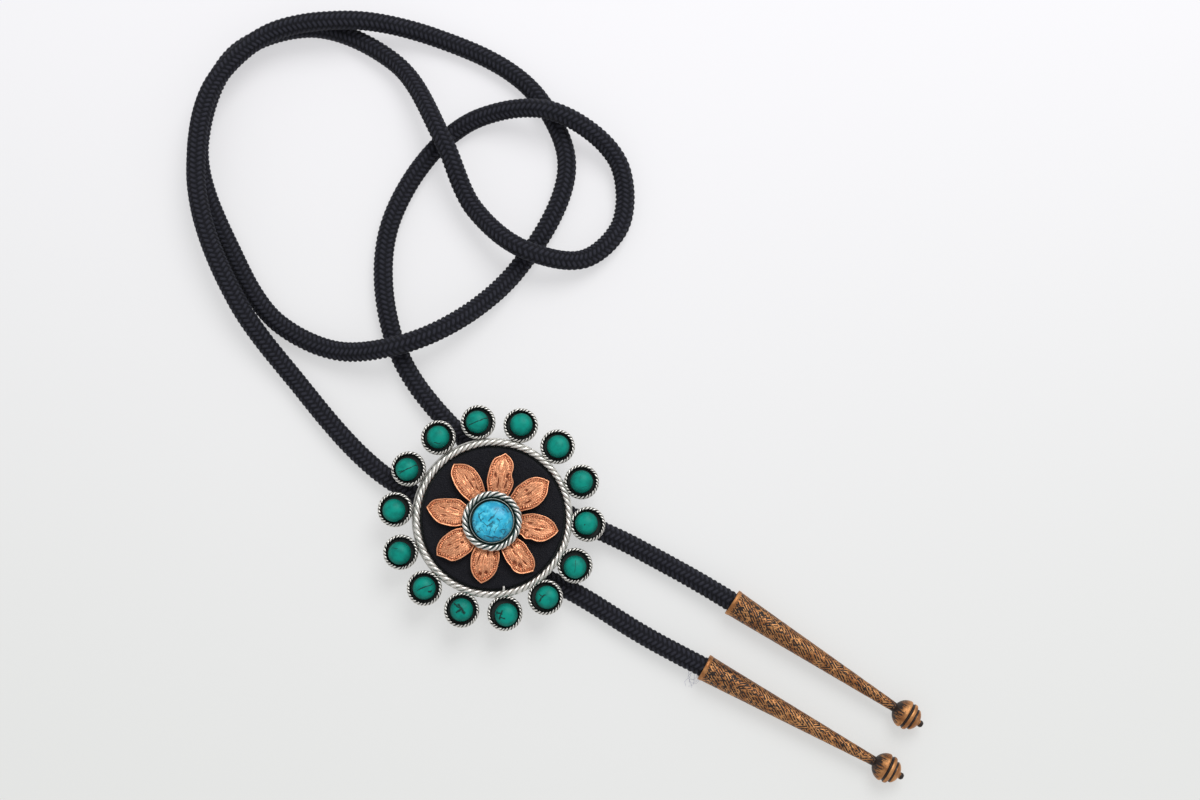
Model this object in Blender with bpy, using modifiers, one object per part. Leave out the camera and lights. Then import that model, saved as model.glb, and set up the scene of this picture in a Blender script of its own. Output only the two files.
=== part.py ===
"""Bolo tie: a braided cord with two cone tips, and a slide set with turquoise and a copper flower.

Blender 4.5, metres, +Z up. The tie lies on a flat surface at z = 0. The origin is on that
surface under the middle of the slide, and +Y runs along the two strands in the slide's
clasp, from the tips towards the neck loop.
"""

import math

import bmesh
import bpy
from mathutils import Matrix, Vector

# Clearance between two pieces that touch on the real object
CLEARANCE = 0.0003

# Cord
CORD_RADIUS = 0.0025
CORD_POINT_SPACING = 0.0115
CORD_BEVEL_RESOLUTION = 2

# Clasp: two channels side by side between a foot bar and a top bar
CLASP_LEFT_X = -0.0058
CLASP_RIGHT_X = 0.0112
CLASP_LENGTH = 0.0150
# How far the cord runs on straight past the clasp
CLASP_RUN_OUT = 0.0005
CLASP_WALL = 0.0008
# The bars are a little thicker than the channels' walls, and the bores groove them
CLASP_BAR_THICKNESS = 0.0011
CLASP_SEGMENTS = 20

# Setting: base plate, twisted rim and cups. The plate and the ring of cups lie a little above the rim's middle
BACK_SHIFT_Y = 0.0005
RIM_RADIUS = 0.0184
RIM_WIRE_RADIUS = 0.0010
RIM_RIDGES = 72
PLATE_BORDER = 0.0007
PLATE_THICKNESS = 0.0008
PLATE_SEGMENTS = 56
CUP_COUNT = 14
CUP_SOLDER_DEPTH = 0.0003
CUP_FIRST_ANGLE = math.radians(45.5)
CUP_BASE_RADIUS = 0.0041
CUP_BASE_THICKNESS = 0.0008
CUP_BASE_LIFT = 0.0001
CUP_ROPE_RADIUS = 0.0037
CUP_ROPE_WIRE_RADIUS = 0.0006
CUP_ROPE_SIDES = 5
CUP_ROPE_START = math.radians(210)
CUP_ROPE_END = math.radians(-30)
CUP_SEGMENTS = 14
WIRE_SINK = 0.00015

# Small green stones
STONE_RADIUS = 0.0028
STONE_HEIGHT = 0.0026
STONE_GIRDLE = 0.0006
STONE_SEGMENTS = 12
DOME_STEPS = 3

# Leather inlay
LEATHER_THICKNESS = 0.0012
LEATHER_EDGE_ROUND = 0.0003
LEATHER_SEGMENTS = 48

# Copper flower
FLOWER_SHIFT = (-0.0008, -0.0006)
PETAL_COUNT = 8
PETAL_FIRST_ANGLE = math.radians(27.25)
PETAL_ROOT = 0.0052
PETAL_GAP = 0.0010
PETAL_WIDTH = 0.0069
PETAL_RISE = 0.0007
PETAL_EDGE_RISE = 0.0003
PETAL_VEIN_DEPTH = 0.0002
SHEET_THICKNESS = 0.0006
HUB_RADIUS = 0.0068
HUB_SEGMENTS = 24
# Shares of the petal's length and of its half width
PETAL_OUTLINE = [
    (0.00, 0.54), (0.16, 0.70), (0.34, 0.90), (0.52, 1.00),
    (0.68, 0.92), (0.82, 0.68), (0.93, 0.34), (1.00, 0.00),
]
PETAL_ACROSS = 4

# Centre bezel and blue stone
CENTRE_STONE_RADIUS = 0.0051
CENTRE_STONE_HEIGHT = 0.0032
CENTRE_STONE_GIRDLE = 0.0010
CENTRE_WALL = 0.0005
CENTRE_WALL_HEIGHT = 0.0012
CENTRE_BASE_THICKNESS = 0.0007
CENTRE_ROPE_WIRE_RADIUS = 0.00075
CENTRE_RIDGES = 34
CENTRE_SEGMENTS = 24

# Cone tips
LEFT_TIP_MOUTH = (0.0023, -0.0621)
LEFT_TIP_ANGLE = math.radians(-81.8)
RIGHT_TIP_MOUTH = (0.0190, -0.0583)
RIGHT_TIP_ANGLE = math.radians(-86.0)
TIP_BALL_DISTANCE = 0.0496
MOUTH_RADIUS = 0.0033
LIP_LENGTH = 0.0008
LIP_STEP = 0.0002
BORE_DEPTH = 0.0072
NECK_RADIUS = 0.00115
BALL_RADIUS = 0.0035
# Degrees from the neck
BALL_POINTS = (30, 45, 60, 75, 90, 105, 120, 135, 150)
BALL_GROOVES = (90, 120)
BALL_GROOVE_DEPTH = 0.00045
NUB_RADIUS = 0.00085
NUB_LENGTH = 0.0011
TIP_SEGMENTS = 18

# Twisted rope: how far the valleys lie below the ridges, as a share of the wire's radius
ROPE_VALLEY_SHARE = 0.28
ROPE_STEPS_PER_RIDGE = 3
ROPE_SIDES = 5

MERGE_DISTANCE = 0.00001
SHARP_ANGLE = math.radians(40)

# Sizes that follow the rim
RIM_OUTER_RADIUS = RIM_RADIUS + RIM_WIRE_RADIUS
PLATE_RADIUS = RIM_OUTER_RADIUS + PLATE_BORDER
CUP_RING_RADIUS = RIM_OUTER_RADIUS + CUP_ROPE_RADIUS + CUP_ROPE_WIRE_RADIUS - CUP_SOLDER_DEPTH
PETAL_TIP = RIM_RADIUS - RIM_WIRE_RADIUS - PETAL_GAP

# Levels that stack up from the surface
BORE_RADIUS = CORD_RADIUS + CLEARANCE
CLASP_AXIS_Z = CLASP_WALL + BORE_RADIUS
CLASP_TOP_Z = CLASP_AXIS_Z + BORE_RADIUS + CLASP_WALL
CLASP_STRAIGHT = CLASP_LENGTH / 2 + CLASP_RUN_OUT
PLATE_BACK_Z = CLASP_TOP_Z + CLEARANCE
PLATE_TOP_Z = PLATE_BACK_Z + PLATE_THICKNESS
CUP_BACK_Z = PLATE_BACK_Z + CUP_BASE_LIFT
CUP_TOP_Z = CUP_BACK_Z + CUP_BASE_THICKNESS
STONE_BACK_Z = CUP_TOP_Z + CLEARANCE
LEATHER_BACK_Z = PLATE_TOP_Z + CLEARANCE
LEATHER_TOP_Z = LEATHER_BACK_Z + LEATHER_THICKNESS
FLOWER_BACK_Z = LEATHER_TOP_Z + CLEARANCE
PETAL_BACK_Z = FLOWER_BACK_Z + PETAL_VEIN_DEPTH
CENTRE_BACK_Z = PETAL_BACK_Z + SHEET_THICKNESS + PETAL_EDGE_RISE + CLEARANCE
CENTRE_FLOOR_Z = CENTRE_BACK_Z + CENTRE_BASE_THICKNESS
CENTRE_STONE_BACK_Z = CENTRE_FLOOR_Z + CLEARANCE
CENTRE_WALL_INNER = CENTRE_STONE_RADIUS + CLEARANCE
CENTRE_WALL_OUTER = CENTRE_WALL_INNER + CENTRE_WALL
CENTRE_ROPE_RADIUS = CENTRE_WALL_OUTER + CENTRE_ROPE_WIRE_RADIUS - WIRE_SINK

# From the end in the left tip, round the neck loop and the small loop, to the right tip
CORD_ROUTE = [
    (0.0032, -0.0680, 0.0032), (-0.0003, -0.0463, 0.0026), (-0.0022, -0.0269, 0.0026),
    (CLASP_LEFT_X, -CLASP_STRAIGHT, CLASP_AXIS_Z), (CLASP_LEFT_X, CLASP_STRAIGHT, CLASP_AXIS_Z),
    (-0.0076, 0.0308, 0.0026), (-0.0023, 0.0602, 0.0025), (0.0048, 0.0846, 0.0060),
    (0.0241, 0.1126, 0.0079), (0.0449, 0.1236, 0.0079), (0.0627, 0.1211, 0.0079),
    (0.0779, 0.1075, 0.0079), (0.0894, 0.0874, 0.0030), (0.0926, 0.0575, 0.0025),
    (0.0848, 0.0424, 0.0025), (0.0526, 0.0340, 0.0025), (0.0193, 0.0451, 0.0082),
    (0.0097, 0.0572, 0.0038), (0.0066, 0.0733, 0.0025), (0.0144, 0.0951, 0.0025),
    (0.0304, 0.1182, 0.0025), (0.0567, 0.1259, 0.0025), (0.0719, 0.1154, 0.0025),
    (0.0776, 0.0920, 0.0034), (0.0678, 0.0680, 0.0082), (0.0589, 0.0515, 0.0057),
    (0.0579, 0.0339, 0.0082), (0.0660, 0.0216, 0.0042), (0.0775, 0.0200, 0.0025),
    (0.0903, 0.0293, 0.0032), (0.0902, 0.0512, 0.0083), (0.0790, 0.0656, 0.0034),
    (0.0430, 0.0666, 0.0025), (0.0179, 0.0430, 0.0025), (0.0121, 0.0231, 0.0027),
    (CLASP_RIGHT_X, CLASP_STRAIGHT, CLASP_AXIS_Z), (CLASP_RIGHT_X, -CLASP_STRAIGHT, CLASP_AXIS_Z),
    (0.0156, -0.0320, 0.0025), (0.0189, -0.0575, 0.0031), (0.0194, -0.0643, 0.0032),
]

# Colours, roughness and metallic values
CORD_BLACK = ((0.012, 0.012, 0.014), 0.80, 0.0)
LEATHER_BLACK = ((0.012, 0.012, 0.013), 0.60, 0.0)
SILVER = ((0.62, 0.61, 0.58), 0.35, 1.0)
ROSE_COPPER = ((0.86, 0.42, 0.27), 0.35, 1.0)
ANTIQUE_COPPER = ((0.30, 0.15, 0.08), 0.45, 1.0)
BLUE_TURQUOISE = ((0.06, 0.42, 0.58), 0.30, 0.0)
GREEN_TURQUOISE = ((0.01, 0.40, 0.32), 0.45, 0.0)


def clear_scene():
    for old in list(bpy.data.objects):
        bpy.data.objects.remove(old)


def new_collection(name):
    collection = bpy.data.collections.new(name)
    bpy.context.scene.collection.children.link(collection)
    return collection


def make_material(name, look):
    colour, roughness, metallic = look
    material = bpy.data.materials.new(name)
    material.use_nodes = True
    shader = material.node_tree.nodes["Principled BSDF"]
    shader.inputs["Base Color"].default_value = (*colour, 1.0)
    shader.inputs["Roughness"].default_value = roughness
    shader.inputs["Metallic"].default_value = metallic
    return material


def add_object(name, data, collection, material=None, location=(0, 0, 0)):
    item = bpy.data.objects.new(name, data)
    item.location = location
    if material:
        data.materials.append(material)
    collection.objects.link(item)
    return item


def shade_round(mesh):
    mesh.shade_smooth()
    mesh.set_sharp_from_angle(angle=SHARP_ANGLE)


def mesh_from(name, build):
    """Makes a mesh with the bmesh that build fills."""
    mesh = bpy.data.meshes.new(name)
    bm = bmesh.new()
    build(bm)
    bmesh.ops.recalc_face_normals(bm, faces=bm.faces)
    bm.to_mesh(mesh)
    bm.free()
    return mesh


def evaluated_mesh(item):
    """The object's mesh as its modifiers leave it, in world coordinates."""
    bpy.context.view_layer.update()
    graph = bpy.context.evaluated_depsgraph_get()
    mesh = bpy.data.meshes.new_from_object(item.evaluated_get(graph))
    mesh.transform(item.matrix_world)
    return mesh


def turned_mesh(name, profile, segments):
    """A solid of revolution round Z. The profile is (radius, height) and runs down its outer side."""
    outline = bpy.data.meshes.new(name + "_profile")
    points = [(radius, 0.0, height) for radius, height in profile]
    outline.from_pydata(points, [(i, i + 1) for i in range(len(points) - 1)], [])
    lathe = bpy.data.objects.new(name + "_lathe", outline)
    bpy.context.scene.collection.objects.link(lathe)
    screw = lathe.modifiers.new("Screw", "SCREW")
    screw.steps = segments
    screw.render_steps = segments
    screw.use_merge_vertices = True
    screw.merge_threshold = MERGE_DISTANCE
    mesh = evaluated_mesh(lathe)
    mesh.name = name
    bpy.data.objects.remove(lathe)
    bpy.data.meshes.remove(outline)
    shade_round(mesh)
    return mesh


def cutter(name, mesh, collection):
    """An object that only takes part in Booleans."""
    item = add_object(name, mesh, collection)
    item.hide_render = True
    item.display_type = "WIRE"
    return item


def add_boolean(item, operation, other):
    boolean = item.modifiers.new(operation.title(), "BOOLEAN")
    boolean.operation = operation
    boolean.solver = "EXACT"
    boolean.object = other


def twisted_ring_mesh(name, radius, wire_radius, ridges, centre):
    """A ring of wire whose surface rises and falls as a two-strand twist."""
    steps = ridges * ROPE_STEPS_PER_RIDGE

    def build(bm):
        section = bmesh.ops.create_circle(bm, segments=ROPE_SIDES, radius=wire_radius)["verts"]
        bmesh.ops.rotate(bm, verts=section, matrix=Matrix.Rotation(math.pi / 2, 3, "X"))
        bmesh.ops.translate(bm, verts=section, vec=(radius, 0, 0))
        bmesh.ops.spin(bm, geom=bm.verts[:] + bm.edges[:], axis=(0, 0, 1), cent=(0, 0, 0),
                       steps=steps, angle=2 * math.pi, use_merge=True)
        for vertex in bm.verts:
            round_ring = math.atan2(vertex.co.y, vertex.co.x)
            middle = Vector((math.cos(round_ring), math.sin(round_ring), 0)) * radius
            offset = vertex.co - middle
            round_wire = math.atan2(offset.z, offset.dot(middle.normalized()))
            wave = math.cos(2 * round_wire - ridges * round_ring)
            vertex.co = middle + offset * (1 - ROPE_VALLEY_SHARE * (1 - wave) / 2)
        bmesh.ops.translate(bm, verts=bm.verts, vec=centre)

    mesh = mesh_from(name, build)
    shade_round(mesh)
    return mesh


def dome_profile(radius, height, girdle):
    """A cabochon's profile: a quarter ellipse over a straight girdle and a flat back."""
    points = []
    for step in range(DOME_STEPS + 1):
        angle = math.radians(90 * step / DOME_STEPS)
        points.append((radius * math.sin(angle), girdle + (height - girdle) * math.cos(angle)))
    return points + [(radius, 0.0), (0.0, 0.0)]


def smooth_route(route, spacing, lowest):
    """Points on a smooth curve through the route's points, never lower than the lying cord."""
    points = [Vector(point) for point in route]
    spans = [(b - a).length for a, b in zip(points, points[1:])]
    slopes = [(b - a) / span for a, b, span in zip(points, points[1:], spans)]
    tangents = [slopes[0]]
    for i in range(1, len(points) - 1):
        before, after = spans[i - 1], spans[i]
        tangents.append((slopes[i - 1] * after + slopes[i] * before) / (before + after))
    tangents.append(slopes[-1])
    curve = []
    for i, span in enumerate(spans):
        steps = max(1, round(span / spacing))
        for step in range(steps):
            t = step / steps
            point = points[i] * (2 * t**3 - 3 * t**2 + 1)
            point += tangents[i] * span * (t**3 - 2 * t**2 + t)
            point += points[i + 1] * (3 * t**2 - 2 * t**3)
            point += tangents[i + 1] * span * (t**3 - t**2)
            curve.append(point)
    curve.append(points[-1])
    for point in curve:
        point.z = max(point.z, lowest)
    return curve


def cup_centre(index):
    angle = CUP_FIRST_ANGLE - index * 2 * math.pi / CUP_COUNT
    x = CUP_RING_RADIUS * math.cos(angle)
    y = CUP_RING_RADIUS * math.sin(angle) + BACK_SHIFT_Y
    return Vector((x, y, 0))


def make_cord(parts):
    curve = bpy.data.curves.new("cord", "CURVE")
    curve.dimensions = "3D"
    curve.bevel_depth = CORD_RADIUS
    curve.bevel_resolution = CORD_BEVEL_RESOLUTION
    curve.use_fill_caps = True
    spline = curve.splines.new("POLY")
    points = smooth_route(CORD_ROUTE, CORD_POINT_SPACING, CORD_RADIUS)
    spline.points.add(len(points) - 1)
    for target, point in zip(spline.points, points):
        target.co = (*point, 1.0)
    add_object("cord", curve, parts, make_material("braided_cord", CORD_BLACK))


def make_clasp(parts, cutters):
    middle_x = (CLASP_LEFT_X + CLASP_RIGHT_X) / 2
    tube_radius = BORE_RADIUS + CLASP_WALL
    width = CLASP_RIGHT_X - CLASP_LEFT_X + 2 * tube_radius
    lie_along_y = Matrix.Rotation(math.pi / 2, 4, "X")

    def bar(bm, bottom_z):
        size = Matrix.Diagonal((width, CLASP_LENGTH, CLASP_BAR_THICKNESS, 1))
        place = Matrix.Translation((middle_x, 0, bottom_z + CLASP_BAR_THICKNESS / 2))
        bmesh.ops.create_cube(bm, size=1, matrix=place @ size)

    def round_bar(bm, x, radius, length):
        place = Matrix.Translation((x, 0, CLASP_AXIS_Z)) @ lie_along_y
        bmesh.ops.create_cone(bm, cap_ends=True, segments=CLASP_SEGMENTS, radius1=radius,
                              radius2=radius, depth=length, matrix=place)

    clasp = add_object("clasp", mesh_from("clasp", lambda bm: bar(bm, 0)), parts,
                       make_material("clasp_silver", SILVER))
    top_bar = mesh_from("clasp_top_bar", lambda bm: bar(bm, CLASP_TOP_Z - CLASP_BAR_THICKNESS))
    # The channels' outer walls are a little shorter than the bars, so no two faces coincide
    tube_length = CLASP_LENGTH - 2 * CLEARANCE
    tube_outer = BORE_RADIUS + CLASP_WALL - CLEARANCE / 2
    for side, x in (("left", CLASP_LEFT_X), ("right", CLASP_RIGHT_X)):
        wall = mesh_from("channel_" + side, lambda bm: round_bar(bm, x, tube_outer, tube_length))
        add_boolean(clasp, "UNION", cutter("channel_" + side, wall, cutters))
    add_boolean(clasp, "UNION", cutter("clasp_top_bar", top_bar, cutters))
    for side, x in (("left", CLASP_LEFT_X), ("right", CLASP_RIGHT_X)):
        bore = mesh_from("bore_" + side, lambda bm: round_bar(bm, x, BORE_RADIUS, 2 * CLASP_LENGTH))
        add_boolean(clasp, "DIFFERENCE", cutter("bore_" + side, bore, cutters))


def cup_profile():
    """A cup's disc with a round wire on its edge."""
    wire_z = CUP_BASE_THICKNESS + CUP_ROPE_WIRE_RADIUS - WIRE_SINK
    profile = [(0.0, CUP_BASE_THICKNESS)]
    for side in range(CUP_ROPE_SIDES):
        angle = CUP_ROPE_START + (CUP_ROPE_END - CUP_ROPE_START) * side / (CUP_ROPE_SIDES - 1)
        profile.append((CUP_ROPE_RADIUS + CUP_ROPE_WIRE_RADIUS * math.cos(angle),
                        wire_z + CUP_ROPE_WIRE_RADIUS * math.sin(angle)))
    profile[1] = (profile[1][0], CUP_BASE_THICKNESS)
    profile += [(CUP_BASE_RADIUS, CUP_BASE_THICKNESS - WIRE_SINK), (CUP_BASE_RADIUS, 0.0), (0.0, 0.0)]
    return profile


def make_setting(parts, cutters):
    silver = make_material("setting_silver", SILVER)
    plate = turned_mesh("setting", [(0.0, PLATE_THICKNESS), (PLATE_RADIUS, PLATE_THICKNESS),
                                    (PLATE_RADIUS, 0.0), (0.0, 0.0)], PLATE_SEGMENTS)
    setting = add_object("setting", plate, parts, silver, (0, BACK_SHIFT_Y, PLATE_BACK_Z))
    one_cup = turned_mesh("cup", cup_profile(), CUP_SEGMENTS)

    def build_cups(bm):
        for index in range(CUP_COUNT):
            first_new = len(bm.verts)
            bm.from_mesh(one_cup)
            bm.verts.ensure_lookup_table()
            place = cup_centre(index) + Vector((0, 0, CUP_BACK_Z))
            bmesh.ops.translate(bm, verts=bm.verts[first_new:], vec=place)

    add_boolean(setting, "UNION", cutter("cups", mesh_from("cups", build_cups), cutters))
    rim_z = PLATE_TOP_Z + RIM_WIRE_RADIUS - WIRE_SINK
    rim = twisted_ring_mesh("rim", RIM_RADIUS, RIM_WIRE_RADIUS, RIM_RIDGES, (0, 0, rim_z))
    add_boolean(setting, "UNION", cutter("rim", rim, cutters))


def make_small_stones(parts):
    mesh = turned_mesh("stone", dome_profile(STONE_RADIUS, STONE_HEIGHT, STONE_GIRDLE), STONE_SEGMENTS)
    mesh.materials.append(make_material("green_turquoise", GREEN_TURQUOISE))
    for index in range(CUP_COUNT):
        place = cup_centre(index) + Vector((0, 0, STONE_BACK_Z))
        add_object("stone_%02d" % (index + 1), mesh, parts, location=place)


def make_leather_inlay(parts):
    radius = RIM_RADIUS - RIM_WIRE_RADIUS - CLEARANCE
    top = LEATHER_THICKNESS
    mesh = turned_mesh("leather_inlay", [
        (0.0, top), (radius - LEATHER_EDGE_ROUND, top), (radius, top - LEATHER_EDGE_ROUND),
        (radius, 0.0), (0.0, 0.0)], LEATHER_SEGMENTS)
    leather = make_material("black_leather", LEATHER_BLACK)
    add_object("leather_inlay", mesh, parts, leather, (0, 0, LEATHER_BACK_Z))


def petal_mesh():
    """One petal along +X: a leaf outline with raised edges and a vein, rising in its middle."""
    rows = len(PETAL_OUTLINE) - 1

    def build(bm):
        bmesh.ops.create_grid(bm, x_segments=rows, y_segments=PETAL_ACROSS, size=1)
        for vertex in bm.verts:
            along, wide = PETAL_OUTLINE[round((vertex.co.x + 1) / 2 * rows)]
            across = vertex.co.y
            height = PETAL_RISE * math.sin(math.pi * along)
            height += PETAL_EDGE_RISE * across * across * wide
            height -= PETAL_VEIN_DEPTH * (1 - abs(across)) * wide
            reach = PETAL_ROOT + (PETAL_TIP - PETAL_ROOT) * along
            vertex.co = (reach, PETAL_WIDTH / 2 * wide * across, height)
        bmesh.ops.remove_doubles(bm, verts=bm.verts, dist=MERGE_DISTANCE)

    sheet = bpy.data.objects.new("petal_sheet", mesh_from("petal", build))
    bpy.context.scene.collection.objects.link(sheet)
    solidify = sheet.modifiers.new("Solidify", "SOLIDIFY")
    solidify.thickness = SHEET_THICKNESS
    solidify.offset = 1.0
    mesh = evaluated_mesh(sheet)
    bpy.data.objects.remove(sheet)
    return mesh


def make_flower(parts, cutters):
    shift = Vector((*FLOWER_SHIFT, 0))
    hub = turned_mesh("flower", [(0.0, SHEET_THICKNESS), (HUB_RADIUS, SHEET_THICKNESS),
                                 (HUB_RADIUS, 0.0), (0.0, 0.0)], HUB_SEGMENTS)
    flower = add_object("flower", hub, parts, make_material("rose_copper", ROSE_COPPER),
                        shift + Vector((0, 0, FLOWER_BACK_Z)))
    petal = petal_mesh()

    def build_petals(bm):
        for index in range(PETAL_COUNT):
            first_new = len(bm.verts)
            bm.from_mesh(petal)
            bm.verts.ensure_lookup_table()
            turn = Matrix.Rotation(PETAL_FIRST_ANGLE - index * 2 * math.pi / PETAL_COUNT, 4, "Z")
            place = Matrix.Translation(shift + Vector((0, 0, PETAL_BACK_Z)))
            bmesh.ops.transform(bm, verts=bm.verts[first_new:], matrix=place @ turn)

    add_boolean(flower, "UNION", cutter("petals", mesh_from("petals", build_petals), cutters))


def make_centre_bezel(parts, cutters):
    rim_z = CENTRE_BASE_THICKNESS + CENTRE_WALL_HEIGHT
    place = (*FLOWER_SHIFT, CENTRE_BACK_Z)
    cup = turned_mesh("centre_bezel", [
        (0.0, CENTRE_BASE_THICKNESS), (CENTRE_WALL_INNER, CENTRE_BASE_THICKNESS),
        (CENTRE_WALL_INNER, rim_z), (CENTRE_WALL_OUTER, rim_z), (CENTRE_WALL_OUTER, CENTRE_BASE_THICKNESS),
        (CENTRE_ROPE_RADIUS, CENTRE_BASE_THICKNESS - WIRE_SINK), (CENTRE_ROPE_RADIUS, 0.0), (0.0, 0.0)],
        CENTRE_SEGMENTS)
    bezel = add_object("centre_bezel", cup, parts, make_material("bezel_silver", SILVER), place)
    rope_z = CENTRE_BACK_Z + CENTRE_BASE_THICKNESS + CENTRE_ROPE_WIRE_RADIUS - 2 * WIRE_SINK
    rope = twisted_ring_mesh("centre_rope", CENTRE_ROPE_RADIUS, CENTRE_ROPE_WIRE_RADIUS,
                             CENTRE_RIDGES, (*FLOWER_SHIFT, rope_z))
    add_boolean(bezel, "UNION", cutter("centre_rope", rope, cutters))


def make_centre_stone(parts):
    profile = dome_profile(CENTRE_STONE_RADIUS, CENTRE_STONE_HEIGHT, CENTRE_STONE_GIRDLE)
    mesh = turned_mesh("centre_stone", profile, CENTRE_SEGMENTS)
    place = (*FLOWER_SHIFT, CENTRE_STONE_BACK_Z)
    add_object("centre_stone", mesh, parts, make_material("blue_turquoise", BLUE_TURQUOISE), place)


def tip_profile():
    """Bore, lip, cone, grooved ball and nub, from the mouth at height 0 downwards."""
    shoulder = MOUTH_RADIUS - LIP_STEP
    neck_angle = math.asin(NECK_RADIUS / BALL_RADIUS)
    ball_start = TIP_BALL_DISTANCE - BALL_RADIUS * math.cos(neck_angle)
    profile = [
        (0.0, -BORE_DEPTH), (BORE_RADIUS, -BORE_DEPTH), (BORE_RADIUS, 0.0), (MOUTH_RADIUS, 0.0),
        (MOUTH_RADIUS, -LIP_LENGTH), (shoulder, -LIP_LENGTH - LIP_STEP), (NECK_RADIUS, -ball_start),
    ]
    nub_angle = math.pi - math.asin(NUB_RADIUS / BALL_RADIUS)
    for degrees in BALL_POINTS:
        angle = math.radians(degrees)
        radius = BALL_RADIUS - (BALL_GROOVE_DEPTH if degrees in BALL_GROOVES else 0)
        profile.append((radius * math.sin(angle), radius * math.cos(angle) - TIP_BALL_DISTANCE))
    nub_start = TIP_BALL_DISTANCE - BALL_RADIUS * math.cos(nub_angle)
    profile += [(NUB_RADIUS, -nub_start), (NUB_RADIUS, -nub_start - NUB_LENGTH / 2),
                (NUB_RADIUS / 2, -nub_start - NUB_LENGTH), (0.0, -nub_start - NUB_LENGTH)]
    return profile


def make_tips(parts):
    mesh = turned_mesh("tip", tip_profile(), TIP_SEGMENTS)
    mesh.materials.append(make_material("antique_copper", ANTIQUE_COPPER))
    slope = math.asin((BALL_RADIUS - MOUTH_RADIUS) / TIP_BALL_DISTANCE)
    # The mesh points down -Z, and the tip lies on its lip and its ball
    for name, mouth, angle in (("tip_left", LEFT_TIP_MOUTH, LEFT_TIP_ANGLE),
                               ("tip_right", RIGHT_TIP_MOUTH, RIGHT_TIP_ANGLE)):
        tip = add_object(name, mesh, parts, location=(*mouth, MOUTH_RADIUS))
        tip.rotation_euler = (0, -math.pi / 2 - slope, angle)


def main():
    clear_scene()
    parts = new_collection("bolo_tie")
    cutters = new_collection("cutters")
    make_cord(parts)
    make_clasp(parts, cutters)
    make_setting(parts, cutters)
    make_small_stones(parts)
    make_leather_inlay(parts)
    make_flower(parts, cutters)
    make_centre_bezel(parts, cutters)
    make_centre_stone(parts)
    make_tips(parts)


main()
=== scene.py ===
"""Bolo tie: the looks of its cord, slide and tips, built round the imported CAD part."""

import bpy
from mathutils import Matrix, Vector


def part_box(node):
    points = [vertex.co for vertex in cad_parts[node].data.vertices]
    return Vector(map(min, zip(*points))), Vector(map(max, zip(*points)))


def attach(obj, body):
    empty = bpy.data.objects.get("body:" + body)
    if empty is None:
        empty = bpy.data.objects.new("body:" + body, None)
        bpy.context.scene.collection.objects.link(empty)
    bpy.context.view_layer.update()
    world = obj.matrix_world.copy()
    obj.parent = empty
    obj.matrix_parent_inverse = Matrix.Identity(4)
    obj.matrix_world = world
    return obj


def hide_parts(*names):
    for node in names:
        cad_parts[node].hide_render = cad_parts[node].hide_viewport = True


bl_info = {
    "name": "Bolo Tie",
    "version": (1, 0, 0),
    "blender": (4, 5, 0),
    "location": "3D View > Sidebar > Bolo Tie",
    "description": "Builds a braided bolo tie with a turquoise and copper slide",
    "category": "Add Mesh",
}

import math

import bmesh
import bpy
from bpy.props import (FloatProperty, FloatVectorProperty, IntProperty, PointerProperty)
from mathutils import Euler, Matrix, Vector, noise
from mathutils.kdtree import KDTree

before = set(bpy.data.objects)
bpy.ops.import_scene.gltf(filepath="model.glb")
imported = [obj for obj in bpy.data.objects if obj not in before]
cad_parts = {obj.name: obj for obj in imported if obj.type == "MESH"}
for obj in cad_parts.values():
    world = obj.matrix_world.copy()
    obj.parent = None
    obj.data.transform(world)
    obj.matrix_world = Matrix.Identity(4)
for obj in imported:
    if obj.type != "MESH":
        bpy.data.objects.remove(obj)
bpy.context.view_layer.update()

TURN = 2 * math.pi
MM = 0.001
MERGE_DISTANCE = 0.000002

# Places and sizes that the CAD gives
PLATE_BACK_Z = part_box("setting")[0].z
CLASP_TOP_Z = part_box("clasp")[1].z
LEATHER_LOW, LEATHER_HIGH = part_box("leather_inlay")
LEATHER_RADIUS = (LEATHER_HIGH.x - LEATHER_LOW.x) / 2
FLOWER_LOW, FLOWER_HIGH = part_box("flower")
FLOWER_CENTRE = (FLOWER_LOW + FLOWER_HIGH) / 2
CENTRE_LOW, CENTRE_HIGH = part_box("centre_stone")
CENTRE = (CENTRE_LOW + CENTRE_HIGH) / 2
BEZEL_LOW, BEZEL_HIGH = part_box("centre_bezel")
STONE_NAMES = sorted(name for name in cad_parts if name.startswith("stone_"))
STONE_BOXES = [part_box(name) for name in STONE_NAMES]

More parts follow.
